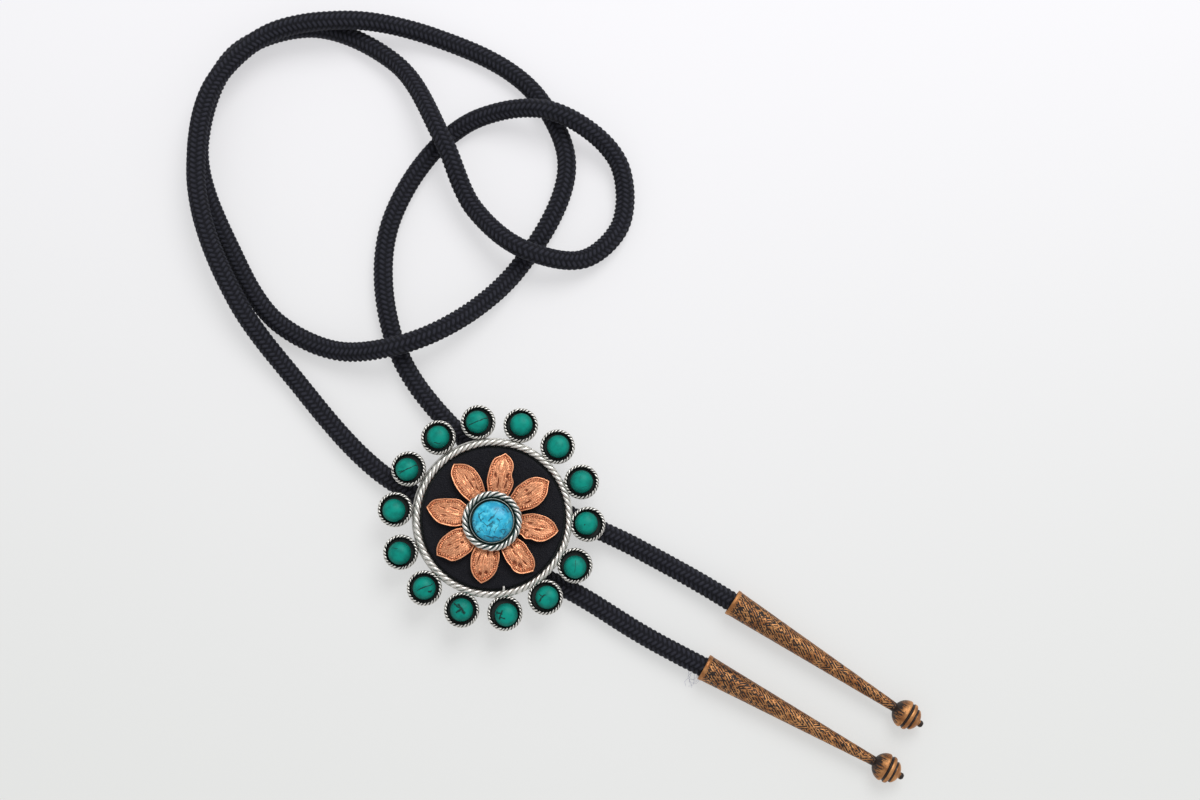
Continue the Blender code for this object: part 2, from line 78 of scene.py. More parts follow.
# The same route as the CAD's cord, from the left tip to the right one
CORD_ROUTE = [
    (0.0032, -0.0680, 0.0032), (-0.0003, -0.0463, 0.0026), (-0.0022, -0.0269, 0.0026),
    (-0.0058, -0.0080, 0.0036), (-0.0058, 0.0080, 0.0036), (-0.0076, 0.0308, 0.0026),
    (-0.0023, 0.0602, 0.0025), (0.0048, 0.0846, 0.0060), (0.0241, 0.1126, 0.0079),
    (0.0449, 0.1236, 0.0079), (0.0627, 0.1211, 0.0079), (0.0779, 0.1075, 0.0079),
    (0.0894, 0.0874, 0.0030), (0.0926, 0.0575, 0.0025), (0.0848, 0.0424, 0.0025),
    (0.0526, 0.0340, 0.0025), (0.0193, 0.0451, 0.0082), (0.0097, 0.0572, 0.0038),
    (0.0066, 0.0733, 0.0025), (0.0144, 0.0951, 0.0025), (0.0304, 0.1182, 0.0025),
    (0.0567, 0.1259, 0.0025), (0.0719, 0.1154, 0.0025), (0.0776, 0.0920, 0.0034),
    (0.0678, 0.0680, 0.0082), (0.0589, 0.0515, 0.0057), (0.0579, 0.0339, 0.0082),
    (0.0660, 0.0216, 0.0042), (0.0775, 0.0200, 0.0025), (0.0903, 0.0293, 0.0032),
    (0.0902, 0.0512, 0.0083), (0.0790, 0.0656, 0.0034), (0.0430, 0.0666, 0.0025),
    (0.0179, 0.0430, 0.0025), (0.0121, 0.0231, 0.0027), (0.0112, 0.0080, 0.0036),
    (0.0112, -0.0080, 0.0036), (0.0156, -0.0320, 0.0025), (0.0189, -0.0575, 0.0031),
    (0.0194, -0.0643, 0.0032),
]
CORD_SIDES = 32
CORD_RINGS_PER_STITCH = 4
CORD_CURVE_STEPS = 60


# Node and mesh helpers

def add_node(tree, kind, inputs=None, **settings):
    """Adds a node. Each input is a value, or the output socket that it takes."""
    made = tree.nodes.new(kind)
    for name, value in settings.items():
        setattr(made, name, value)
    for name, value in (inputs or {}).items():
        if isinstance(value, bpy.types.NodeSocket):
            tree.links.new(value, made.inputs[name])
        else:
            made.inputs[name].default_value = value
    return made


def math_node(tree, operation, *values, clamp=False):
    """A Math node's output."""
    inputs = dict(enumerate(values))
    return add_node(tree, "ShaderNodeMath", inputs, operation=operation, use_clamp=clamp).outputs[0]


def vector_node(tree, operation, *values):
    """A Vector Math node, whose Vector or Value output is taken by name."""
    return add_node(tree, "ShaderNodeVectorMath", dict(enumerate(values)), operation=operation)


def mix_colours(tree, share, first, second, blend="MIX"):
    """The colour between two, by a share from 0 to 1."""
    mix = add_node(tree, "ShaderNodeMix", data_type="RGBA", blend_type=blend)
    for index, value in ((0, share), (6, first), (7, second)):
        if isinstance(value, bpy.types.NodeSocket):
            tree.links.new(value, mix.inputs[index])
        else:
            mix.inputs[index].default_value = value if index == 0 else (*value[:3], 1.0)
    return mix.outputs[2]


def smooth_step(tree, value, low, high):
    """0 below low, 1 above high and smooth between. Low may be above high."""
    step = add_node(tree, "ShaderNodeMapRange", {"Value": value}, interpolation_type="SMOOTHSTEP")
    if low > high:
        step.inputs["From Min"].default_value, step.inputs["From Max"].default_value = high, low
        step.inputs["To Min"].default_value, step.inputs["To Max"].default_value = 1.0, 0.0
    else:
        step.inputs["From Min"].default_value, step.inputs["From Max"].default_value = low, high
    return step.outputs["Result"]


def noise_value(tree, vector, scale, detail=2.0, distortion=0.0):
    """Noise from 0 to 1."""
    made = add_node(tree, "ShaderNodeTexNoise", {
        "Vector": vector, "Scale": scale, "Detail": detail, "Distortion": distortion})
    return made.outputs[0]


def object_place(tree):
    return add_node(tree, "ShaderNodeTexCoord").outputs["Object"]


def attribute_value(tree, name):
    return add_node(tree, "ShaderNodeAttribute", attribute_name=name).outputs["Fac"]


def bump(tree, height, strength, distance):
    return add_node(tree, "ShaderNodeBump", {
        "Height": height, "Strength": strength, "Distance": distance}).outputs["Normal"]


def new_material(name):
    """A material with its node tree and its Principled shader."""
    material = bpy.data.materials.new(name)
    material.use_nodes = True
    return material, material.node_tree, material.node_tree.nodes["Principled BSDF"]


def new_group(name, inputs, outputs):
    """A shader node group. Inputs are (name, kind, default); outputs are (name, kind)."""
    group = bpy.data.node_groups.new(name, "ShaderNodeTree")
    for socket_name, kind, default in inputs:
        socket = group.interface.new_socket(socket_name, in_out="INPUT", socket_type=kind)
        if default is not None:
            socket.default_value = default
    for socket_name, kind in outputs:
        group.interface.new_socket(socket_name, in_out="OUTPUT", socket_type=kind)
    return group, group.nodes.new("NodeGroupInput").outputs, group.nodes.new("NodeGroupOutput").inputs


def use_group(tree, group, inputs):
    """Places a group in a material's tree."""
    return add_node(tree, "ShaderNodeGroup", inputs, node_tree=group).outputs


def mesh_from(name, build):
    """A smooth mesh with the bmesh that build fills."""
    mesh = bpy.data.meshes.new(name)
    bm = bmesh.new()
    build(bm)
    bm.to_mesh(mesh)
    bm.free()
    mesh.shade_smooth()
    return mesh


def add_piece(name, mesh, material, replaced=()):
    """Puts a finished mesh in the scene as a piece that rides on the tie."""
    piece = bpy.data.objects.new(name, mesh)
    mesh.materials.append(material)
    bpy.context.scene.collection.objects.link(piece)
    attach(piece, "root")
    if replaced:
        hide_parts(*replaced)
    return piece


def depth_layer(bm):
    """The vertices' own value for how proud of the metal around it a place stands, 0 to 1, from which the materials
    also paint shade and highlights.
    """
    return bm.verts.layers.float.get("proud") or bm.verts.layers.float.new("proud")


def join_meshes(name, parts):
    """One mesh of several. Each part is a mesh and the matrix that moves it."""
    def build(bm):
        for mesh, matrix in parts:
            first = len(bm.verts)
            bm.from_mesh(mesh)
            bm.verts.ensure_lookup_table()
            bmesh.ops.transform(bm, verts=bm.verts[first:], matrix=matrix)
    return mesh_from(name, build)


def lathe(bm, profile, segments):
    """Turns a profile of (radius, height) round Z. It starts and ends on the axis."""
    line = [bm.verts.new((radius, 0.0, height)) for radius, height in profile]
    edges = [bm.edges.new(pair) for pair in zip(line, line[1:])]
    bmesh.ops.spin(bm, geom=line + edges, axis=(0, 0, 1), cent=(0, 0, 0), steps=segments,
                   angle=TURN, use_merge=True)
    poles = [vertex for vertex in bm.verts if vertex.co.xy.length < MERGE_DISTANCE]
    bmesh.ops.remove_doubles(bm, verts=poles, dist=MERGE_DISTANCE)
    bmesh.ops.recalc_face_normals(bm, faces=bm.faces)


def lathe_table(name, table, segments):
    """A turned mesh from a table of (radius, height, proud), the first two in millimetres."""
    def build(bm):
        lathe(bm, [(radius * MM, height * MM) for radius, height, _ in table], segments)
        proud = depth_layer(bm)
        for vertex in bm.verts:
            radius, height = vertex.co.xy.length / MM, vertex.co.z / MM
            vertex[proud] = min(table, key=lambda row: abs(row[0] - radius) + abs(row[1] - height))[2]
    return mesh_from(name, build)


def ease(low, high, value):
    """0 below low, 1 above high and smooth between. Low may be above high."""
    t = min(1.0, max(0.0, (value - low) / (high - low)))
    return t * t * (3 - 2 * t)


def smooth_curve(points, steps):
    """Points on the smooth curve that passes through the given ones."""
    spans = [(b - a).length for a, b in zip(points, points[1:])]
    slopes = [(b - a) / span for a, b, span in zip(points, points[1:], spans)]
    tangents = [slopes[0]]
    for i in range(1, len(points) - 1):
        before, after = spans[i - 1], spans[i]
        tangents.append((slopes[i - 1] * after + slopes[i] * before) / (before + after))
    tangents.append(slopes[-1])
    fine = []
    for i, span in enumerate(spans):
        for step in range(steps):
            t = step / steps
            point = points[i] * (2 * t**3 - 3 * t**2 + 1)
            point += tangents[i] * span * (t**3 - 2 * t**2 + t)
            point += points[i + 1] * (3 * t**2 - 2 * t**3)
            point += tangents[i + 1] * span * (t**3 - t**2)
            fine.append(point)
    return fine + [points[-1].copy()]


def evenly_spaced(line, spacing=None, count=None):
    """Points at one distance from each other along a line, by that distance or by their count."""
    distance = [0.0]
    for a, b in zip(line, line[1:]):
        distance.append(distance[-1] + (b - a).length)
    count = count or round(distance[-1] / spacing)
    points, i = [], 0
    for step in range(count + 1):
        wanted = distance[-1] * step / count
        while i < len(line) - 2 and distance[i + 1] < wanted:
            i += 1
        share = (wanted - distance[i]) / (distance[i + 1] - distance[i])
        points.append(line[i].lerp(line[i + 1], share))
    return points


# Twisted rope

ROPE_STRANDS = 3
# How far the twist runs ahead or behind, in radians, and the share of the rope that wear has taken
ROPE_UNEVENNESS = 0.9
ROPE_WEAR = 0.16


def rope_mesh(name, ring_radius, rope_radius, turns, steps_per_turn=20, sides=8, inner_shade=0.0, flatness=1.0):
    """Three strands of wire twisted together and laid in a ring, which may be darker on its inside.

    Flatness is 1 for round strands, and more where the rope has been rolled flatter.
    """
    share = math.sin(math.pi / ROPE_STRANDS)
    share /= 1 + share
    strand = rope_radius * share * flatness
    reach = rope_radius * (1 - share)
    lean = math.hypot(1.0, reach * turns / ring_radius)

    def build(bm, start):
        section = bmesh.ops.create_circle(bm, segments=sides, radius=strand)["verts"]
        bmesh.ops.rotate(bm, verts=section, matrix=Matrix.Rotation(math.pi / 2, 3, "X"))
        bmesh.ops.translate(bm, verts=section, vec=(ring_radius, 0, 0))
        bmesh.ops.spin(bm, geom=bm.verts[:] + bm.edges[:], axis=(0, 0, 1), cent=(0, 0, 0),
                       steps=turns * steps_per_turn, angle=TURN, use_merge=True)
        proud = depth_layer(bm)
        for vertex in bm.verts:
            round_ring = math.atan2(vertex.co.y, vertex.co.x)
            outward = Vector((math.cos(round_ring), math.sin(round_ring), 0))
            round_wire = math.atan2(vertex.co.z, vertex.co.dot(outward) - ring_radius)
            twist = turns * round_ring + start + ROPE_UNEVENNESS * noise.noise(outward * 2.3)
            away = outward * math.cos(twist) + Vector((0, 0, math.sin(twist)))
            along = Vector((0, 0, math.cos(twist))) - outward * math.sin(twist)
            offset = away * (reach + strand * math.cos(round_wire)) + along * strand * lean * math.sin(round_wire)
            if offset.length > rope_radius:
                offset *= rope_radius / offset.length
            offset *= 1 - ROPE_WEAR * max(0.0, noise.noise((outward * ring_radius + offset) * 800))
            vertex.co = outward * ring_radius + offset
            inside = ease(-0.1, 0.7, -offset.dot(outward) / rope_radius)
            vertex[proud] = ease(0.55, 1.0, offset.length / rope_radius) * (1 - inner_shade * inside)
        bmesh.ops.recalc_face_normals(bm, faces=bm.faces)

    starts = [TURN * number / ROPE_STRANDS for number in range(ROPE_STRANDS)]
    strands = [mesh_from(name, lambda bm: build(bm, start)) for start in starts]
    return join_meshes(name, [(mesh, Matrix()) for mesh in strands])


def add_wire(bm, line, radius, sides):
    """A thin wire or fibre along a line of points, closed at both ends."""
    verts = bmesh.ops.create_circle(bm, segments=sides, radius=radius)["verts"]
    bmesh.ops.rotate(bm, verts=verts, matrix=(line[1] - line[0]).to_track_quat("Z", "Y").to_matrix())
    bmesh.ops.translate(bm, verts=verts, vec=line[0])
    for a, b in zip(line, line[1:]):
        edges = list({edge for vertex in verts for edge in vertex.link_edges if edge.other_vert(vertex) in verts})
        made = bmesh.ops.extrude_edge_only(bm, edges=edges)["geom"]
        verts = [item for item in made if isinstance(item, bmesh.types.BMVert)]
        bmesh.ops.translate(bm, verts=verts, vec=b - a)
    bmesh.ops.holes_fill(bm, edges=[edge for edge in bm.edges if edge.is_boundary], sides=0)
    bmesh.ops.recalc_face_normals(bm, faces=bm.faces)


def wires_mesh(name, lines, radius, sides):
    """Smooth wires through short lists of points in millimetres."""
    def build(bm):
        for points in lines:
            add_wire(bm, smooth_curve([Vector(point) * MM for point in points], 6), radius, sides)
        proud = depth_layer(bm)
        for vertex in bm.verts:
            vertex[proud] = 0.9
    return mesh_from(name, build)


# Settings that a user may change

class BoloCordSettings(bpy.types.PropertyGroup):
    """The braided cord."""

    thickness: FloatProperty(name="Thickness", description="Diameter over the strands",
                             default=0.005, unit="LENGTH", precision=4)
    strands: IntProperty(name="Strands", description="Strands that lean one way, as many as lean the other",
                         default=8)
    stitch: FloatProperty(name="Stitch", description="Length of cord that one stitch takes",
                          default=0.0013, unit="LENGTH", precision=5)
    relief: FloatProperty(name="Relief", description="Depth between two strands",
                          default=0.00042, unit="LENGTH", precision=5)
    colour: FloatVectorProperty(name="Colour", description="Colour of the yarn", subtype="COLOR",
                                default=(0.034, 0.035, 0.049))


class BoloSlideSettings(bpy.types.PropertyGroup):
    """The round slide's silver, leather, copper and stones."""

    rim_radius: FloatProperty(name="Rim radius", description="Radius of the rope round the leather",
                              default=0.0184, unit="LENGTH", precision=5)
    rim_rope: FloatProperty(name="Rim rope", description="Half the thickness of the rim's rope",
                            default=0.00090, unit="LENGTH", precision=5)
    rim_turns: IntProperty(name="Rim turns", description="Turns of the rim's strands", default=24)
    cup_rope_radius: FloatProperty(name="Cup radius", description="Radius of the rope round a small stone",
                                   default=0.00375, unit="LENGTH", precision=5)
    cup_rope: FloatProperty(name="Cup rope", description="Half the thickness of a cup's rope",
                            default=0.00055, unit="LENGTH", precision=5)
    cup_turns: IntProperty(name="Cup turns", description="Turns of a cup's strands", default=9)
    centre_rope: FloatProperty(name="Centre rope", description="Half the thickness of the centre's rope",
                               default=0.00084, unit="LENGTH", precision=5)
    centre_turns: IntProperty(name="Centre turns", description="Turns of the centre's strands", default=9)
    stone_radius: FloatProperty(name="Small stone radius", description="Radius of a green stone",
                                default=0.00276, unit="LENGTH", precision=5)
    silver: FloatVectorProperty(name="Silver", description="Polished silver", subtype="COLOR",
                                default=(0.92, 0.89, 0.83))
    tarnish: FloatVectorProperty(name="Tarnish", description="Black in the silver's recesses", subtype="COLOR",
                                 default=(0.020, 0.022, 0.021))
    green_tarnish: FloatVectorProperty(name="Green tarnish", description="Dark green round the middle stone",
                                       subtype="COLOR", default=(0.055, 0.115, 0.105))
    copper: FloatVectorProperty(name="Copper", description="Bright copper of the flower", subtype="COLOR",
                                default=(1.0, 0.475, 0.265))
    copper_shade: FloatVectorProperty(name="Copper shade", description="Copper in the struck places",
                                      subtype="COLOR", default=(0.26, 0.075, 0.038))
    leather: FloatVectorProperty(name="Leather", description="Leather behind the flower", subtype="COLOR",
                                 default=(0.0055, 0.0055, 0.0085))
    blue: FloatVectorProperty(name="Blue turquoise", description="The middle stone", subtype="COLOR",
                              default=(0.028, 0.50, 0.74))
    green: FloatVectorProperty(name="Green turquoise", description="The small stones", subtype="COLOR",
                               default=(0.001, 0.295, 0.225))


class BoloTipSettings(bpy.types.PropertyGroup):
    """The two cone tips."""

    length: FloatProperty(name="Length", description="From the mouth to the ball's middle",
                          default=0.0496, unit="LENGTH", precision=4)
    mouth_radius: FloatProperty(name="Mouth radius", description="Outside radius of the mouth",
                                default=0.0033, unit="LENGTH", precision=5)
    neck_radius: FloatProperty(name="Neck radius", description="Radius where the cone meets the ball",
                               default=0.00115, unit="LENGTH", precision=5)
    ball_radius: FloatProperty(name="Ball radius", description="Radius of the ball",
                               default=0.0035, unit="LENGTH", precision=5)
    engraving: FloatProperty(name="Engraving", description="Depth of the engraved strokes",
                             default=0.00010, unit="LENGTH", precision=5)
    copper: FloatVectorProperty(name="Copper", description="Rubbed copper on the proud places",
                                subtype="COLOR", default=(0.63, 0.305, 0.118))
    dark: FloatVectorProperty(name="Dark", description="Dark finish in the strokes", subtype="COLOR",
                              default=(0.022, 0.012, 0.009))


class BoloStageSettings(bpy.types.PropertyGroup):
    """Floor, camera and light."""

    floor: FloatVectorProperty(name="Floor", description="Colour of the floor", subtype="COLOR",
                               default=(0.930, 0.920, 0.945))
    # Painted shade: the floor is painted this darker colour near the viewer
    floor_near_shade: FloatVectorProperty(name="Near floor", description="Colour of the floor near the viewer",
                                    subtype="COLOR", default=(0.795, 0.800, 0.785))
    glow: FloatProperty(name="Glow", description="Light that comes through the floor", default=0.60)
    paper: FloatProperty(name="Paper", description="How much of the lamps' light the floor sends back",
                         default=0.42)
    lens: FloatProperty(name="Lens", description="Focal length in millimetres", default=50.0)
    key: FloatProperty(name="Key light", description="Power of the large soft light", default=3.2,
                       subtype="POWER")
    sky: FloatProperty(name="Sky", description="Strength of the even light from all round", default=0.64)


# Cord

def cord_curve(settings):
    """Evenly spaced centres of the cord's rings, on the smooth curve through its route."""
    fine = smooth_curve([Vector(point) for point in CORD_ROUTE], CORD_CURVE_STEPS)
    for point in fine:
        point.z = max(point.z, settings.thickness / 2)
    return evenly_spaced(fine, settings.stitch / CORD_RINGS_PER_STITCH)


def ring_frames(centres):
    """Two directions across the cord at each centre, carried along it without twist."""
    frames = []
    across = Vector((1, 0, 0))
    for i, _ in enumerate(centres):
        ahead = centres[min(i + 1, len(centres) - 1)] - centres[max(i - 1, 0)]
        ahead.normalize()
        across = (across - ahead * across.dot(ahead)).normalized()
        frames.append((across.copy(), ahead.cross(across)))
    return frames


def braid_height(right, left):
    """Height from 0 to 1 of a two-over, two-under braid, and whether the right-leaning strand shows.

    Right and left count the strands that lean each way across the cord's skin.
    """
    along_right = (left + math.floor(right)) % 4
    along_left = (right + math.floor(left) - 2) % 4
    height_right = height_left = 0.0
    if along_right <= 2:
        height_right = math.sin(math.pi * (right % 1)) * math.sin(math.pi * along_right / 2)
    if along_left <= 2:
        height_left = math.sin(math.pi * (left % 1)) * math.sin(math.pi * along_left / 2)
    return max(height_right, height_left) ** 0.6, height_right >= height_left


def make_cord_mesh(settings, centres):
    rings = len(centres) - 1
    frames = ring_frames(centres)
    steps = CORD_SIDES // settings.strands

    def build(bm):
        proud = depth_layer(bm)
        uv = bm.loops.layers.uv.new("yarn")
        bmesh.ops.create_grid(bm, x_segments=CORD_SIDES, y_segments=rings, size=1)
        place = {}
        for vertex in bm.verts:
            column = round((vertex.co.x + 1) / 2 * CORD_SIDES)
            ring = round((vertex.co.y + 1) / 2 * rings)
            place[vertex] = (column, ring)
        flip, keep = [], []
        for face in bm.faces:
            column = sum(place[v][0] for v in face.verts) / 4
            ring = sum(place[v][1] for v in face.verts) / 4
            right, left = (column - ring) / steps, (column + ring) / steps
            shows = braid_height(right + 0.01, left + 0.01)[1]
            (keep if shows else flip).append(face)
            for loop in face.loops:
                a, b = ((place[loop.vert][0] + sign * place[loop.vert][1]) / steps for sign in (-1, 1))
                loop[uv].uv = (b, a) if shows else (a, b)
        bmesh.ops.triangulate(bm, faces=keep, quad_method="FIXED")
        bmesh.ops.triangulate(bm, faces=flip, quad_method="ALTERNATE")
        for vertex, (column, ring) in place.items():
            height = braid_height((column - ring) / steps, (column + ring) / steps)[0]
            angle = TURN * (column % CORD_SIDES) / CORD_SIDES
            lump = noise.noise(centres[ring] * 260.0 + Vector((math.cos(angle), math.sin(angle), 0)) * 0.56)
            radius = settings.thickness / 2 - settings.relief * (1 - height) * (1 + 0.3 * lump)
            across, up = frames[ring]
            vertex.co = centres[ring] + (across * math.cos(angle) + up * math.sin(angle)) * radius
            vertex[proud] = height
        seam = [v for v, (column, _) in place.items() if column in (0, CORD_SIDES)]
        bmesh.ops.remove_doubles(bm, verts=seam, dist=MERGE_DISTANCE)
        bmesh.ops.holes_fill(bm, edges=[e for e in bm.edges if e.is_boundary], sides=0)
        bmesh.ops.recalc_face_normals(bm, faces=bm.faces)

    return mesh_from("cord_braid", build)


def cord_material(settings):
    """Black yarn: fine fibres along each strand, with painted shade between the strands and painted sheen on their
    tops.
    """
    material, tree, shader = new_material("braided_cord")
    uv = add_node(tree, "ShaderNodeUVMap", uv_map="yarn").outputs["UV"]
    proud = attribute_value(tree, "proud")
    place = object_place(tree)
    split = add_node(tree, "ShaderNodeSeparateXYZ", {"Vector": uv}).outputs
    # Each strand is four yarns, which twist a little as they run along it
    lean = math_node(tree, "MULTIPLY_ADD", split["X"], 0.9, math_node(tree, "MULTIPLY", split["Y"], 4.0))
    wave = math_node(tree, "COSINE", math_node(tree, "MULTIPLY", lean, TURN))
    yarn = math_node(tree, "MULTIPLY_ADD", wave, 0.5, 0.5)
    fuzz = noise_value(tree, place, 9000.0, 3.0)
    patches = noise_value(tree, place, 420.0, 2.0)
    colour = tuple(settings.colour)
    deep = tuple(c * 0.25 for c in colour)
    pale = tuple(c * 1.9 for c in colour)
    # Painted shade and light: the places between the strands are painted darker and the strands' tops lighter
    lit = math_node(tree, "MULTIPLY", smooth_step(tree, proud, 0.25, 1.0),
                    math_node(tree, "MULTIPLY_ADD", yarn, 0.5, 0.5))
    base = mix_colours(tree, lit, deep, colour)
    # Painted highlight: the fibres on the strands' tops are painted paler, as sheen
    base = mix_colours(tree, math_node(tree, "MULTIPLY", lit, smooth_step(tree, fuzz, 0.45, 0.75)), base, pale)
    base = mix_colours(tree, math_node(tree, "MULTIPLY", patches, 0.3), base, deep)
    height = math_node(tree, "ADD", math_node(tree, "MULTIPLY", yarn, 0.6),
                       math_node(tree, "MULTIPLY", fuzz, 0.8))
    tree.links.new(base, shader.inputs["Base Color"])
    tree.links.new(bump(tree, height, 0.8, 0.00008), shader.inputs["Normal"])
    shader.inputs["Roughness"].default_value = 0.78
    shader.inputs["Specular IOR Level"].default_value = 0.16
    shader.inputs["Sheen Weight"].default_value = 0.04
    shader.inputs["Sheen Roughness"].default_value = 0.45
    return material


# Fibres that have come loose at the left tip's mouth, in millimetres
FIBRE_RADIUS = 0.000035
LOOSE_FIBRES = [
    ((0.2, -61.6, 3.4), (-1.0, -62.2, 2.2), (-2.4, -61.4, 0.6), (-2.9, -62.3, 0.3)),
    ((0.1, -60.9, 3.0), (-1.2, -61.9, 1.8), (-2.9, -62.6, 0.4), (-3.6, -62.0, 0.3)),
    ((0.4, -61.9, 2.4), (-0.6, -63.0, 1.2), (-1.9, -63.1, 0.3), (-2.4, -62.2, 0.3)),
    ((0.0, -60.2, 2.8), (-1.6, -60.9, 1.6), (-3.3, -60.7, 0.4), (-3.9, -61.5, 0.3)),
    ((0.3, -61.8, 2.0), (-1.5, -62.8, 1.6), (-2.6, -61.8, 0.5), (-1.9, -61.0, 0.3)),
    ((0.1, -60.6, 2.2), (-2.0, -60.6, 1.5), (-2.4, -61.9, 0.4), (-3.4, -62.9, 0.3)),
    ((0.0, -59.6, 2.2), (-1.2, -60.2, 1.2), (-1.8, -61.5, 0.3), (-1.3, -62.6, 0.3)),
]


def fibre_material(settings):
    """Single fibres of the yarn, greyer than the cord because light goes through them."""
    material, tree, shader = new_material("loose_fibre")
    cloud = noise_value(tree, object_place(tree), 900.0)
    colour = tuple(settings.colour)
    shade = mix_colours(tree, cloud, tuple(c * 5 for c in colour), tuple(c * 16 for c in colour))
    tree.links.new(shade, shader.inputs["Base Color"])
    shader.inputs["Roughness"].default_value = 0.8
    return material


class BOLO_OT_cord(bpy.types.Operator):
    """Braids the cord along its route"""

    bl_idname = "bolo.cord"
    bl_label = "Braided cord"

    def execute(self, context):
        settings = context.scene.bolo_cord
        centres = cord_curve(settings)
        mesh = make_cord_mesh(settings, centres)
        piece = add_piece("cord_braid", mesh, cord_material(settings), ["cord"])
        fibres = wires_mesh("loose_fibres", LOOSE_FIBRES, FIBRE_RADIUS, 4)
        fibres = add_piece("loose_fibres", fibres, fibre_material(settings))
        return {"FINISHED"}


# Finishes that several pieces share

def tarnish_group():
    """How bright a place on old metal is: rubbed where it stands proud, black in the recesses."""
    group, given, result = new_group("Tarnish", [
        ("Proud", "NodeSocketFloat", 1.0), ("Place", "NodeSocketVector", None),
        ("Scale", "NodeSocketFloat", 1500.0), ("Unevenness", "NodeSocketFloat", 0.3),
        ("Dark Below", "NodeSocketFloat", 0.3), ("Bright Above", "NodeSocketFloat", 0.7),
    ], [("Bright", "NodeSocketFloat")])
    cloud = noise_value(group, given["Place"], given["Scale"], 4.0)
    shift = math_node(group, "MULTIPLY", math_node(group, "SUBTRACT", cloud, 0.5), given["Unevenness"])
    bright = add_node(group, "ShaderNodeMapRange", {
        "Value": math_node(group, "ADD", given["Proud"], shift),
        "From Min": given["Dark Below"], "From Max": given["Bright Above"]}, interpolation_type="SMOOTHSTEP")
    group.links.new(bright.outputs["Result"], result["Bright"])
    return group


def grain_group():
    """Height of a fine, uneven surface: broad dents under small grains."""
    group, given, result = new_group("Grain", [
        ("Place", "NodeSocketVector", None), ("Dents", "NodeSocketFloat", 400.0),
        ("Grains", "NodeSocketFloat", 4000.0), ("Share", "NodeSocketFloat", 0.5),
    ], [("Height", "NodeSocketFloat")])
    dents = noise_value(group, given["Place"], given["Dents"], 2.0)
    grains = noise_value(group, given["Place"], given["Grains"], 3.0)
    fine = math_node(group, "MULTIPLY", grains, given["Share"])
    group.links.new(math_node(group, "ADD", dents, fine), result["Height"])
    return group


def hatching_group():
    """Depth, 0 to 1, of short struck strokes in leaf-shaped fields that lean to either side.

    Place is the distance along the metal and across it, and Mirrored the share of the fields that
    lean the other way.
    """
    group, given, result = new_group("Hatching", [
        ("Place", "NodeSocketVector", None), ("Pitch", "NodeSocketFloat", 0.00042),
        ("Slant", "NodeSocketFloat", 0.5), ("Mirrored", "NodeSocketFloat", 0.3),
        ("Leaves", "NodeSocketFloat", 450.0),
    ], [("Cut", "NodeSocketFloat")])
    stretched = vector_node(group, "MULTIPLY", given["Place"], (0.5, 1, 0)).outputs["Vector"]
    leaves = add_node(group, "ShaderNodeTexVoronoi", {
        "Vector": stretched, "Scale": given["Leaves"]}, voronoi_dimensions="2D")
    leaf = add_node(group, "ShaderNodeSeparateColor", {"Color": leaves.outputs["Color"]}).outputs
    way = math_node(group, "MULTIPLY_ADD", math_node(group, "GREATER_THAN", leaf["Red"], given["Mirrored"]), 2.0, -1.0)
    slant = math_node(group, "MULTIPLY_ADD", given["Slant"], way,
                      math_node(group, "MULTIPLY_ADD", leaf["Green"], 0.3, -0.15))
    split = add_node(group, "ShaderNodeSeparateXYZ", {"Vector": given["Place"]}).outputs
    line = math_node(group, "DIVIDE", math_node(group, "MULTIPLY_ADD", split["X"], slant, split["Y"]), given["Pitch"])
    wander = math_node(group, "MULTIPLY", noise_value(group, given["Place"], 900.0, 2.0), 0.6)
    wave = math_node(group, "COSINE", math_node(group, "MULTIPLY", math_node(group, "ADD", line, wander), TURN))
    broken = smooth_step(group, noise_value(group, stretched, 1700.0, 2.0), 0.40, 0.50)
    cut = math_node(group, "MULTIPLY", smooth_step(group, wave, -0.45, 0.15), broken)
    group.links.new(cut, result["Cut"])
    return group


def vein_group():
    """A dark line of matrix in a stone, between two places seen from above."""
    group, given, result = new_group("Matrix line", [
        ("Place", "NodeSocketVector", None), ("From", "NodeSocketVector", None),
        ("To", "NodeSocketVector", None), ("Width", "NodeSocketFloat", 0.0001),
        ("Wander", "NodeSocketFloat", 0.0004),
    ], [("Line", "NodeSocketFloat")])
    wobble = add_node(group, "ShaderNodeTexNoise", {"Vector": given["Place"], "Scale": 900.0, "Detail": 3.0})
    shift = vector_node(group, "SUBTRACT", wobble.outputs["Color"], (0.5, 0.5, 0.5)).outputs["Vector"]
    shift = add_node(group, "ShaderNodeVectorMath", {0: shift, "Scale": given["Wander"]},
                     operation="SCALE").outputs["Vector"]
    place = vector_node(group, "ADD", given["Place"], shift).outputs["Vector"]
    place = vector_node(group, "MULTIPLY", place, (1, 1, 0)).outputs["Vector"]
    reach = vector_node(group, "SUBTRACT", given["To"], given["From"]).outputs["Vector"]
    away = vector_node(group, "SUBTRACT", place, given["From"]).outputs["Vector"]
    share = math_node(group, "DIVIDE", vector_node(group, "DOT_PRODUCT", away, reach).outputs["Value"],
                      vector_node(group, "DOT_PRODUCT", reach, reach).outputs["Value"], clamp=True)
    nearest = add_node(group, "ShaderNodeVectorMath", {0: reach, "Scale": share},
                       operation="SCALE").outputs["Vector"]
    distance = vector_node(group, "DISTANCE", away, nearest).outputs["Value"]
    # The line thins out here and there
    cloud = noise_value(group, given["Place"], 1500.0, 2.0)
    width = math_node(group, "MULTIPLY", given["Width"], math_node(group, "MULTIPLY_ADD", cloud, 2.0, -0.2))
    line = math_node(group, "SUBTRACT", 1.0, math_node(group, "DIVIDE", distance, width), clamp=True)
    group.links.new(math_node(group, "POWER", line, 0.5), result["Line"])
    return group


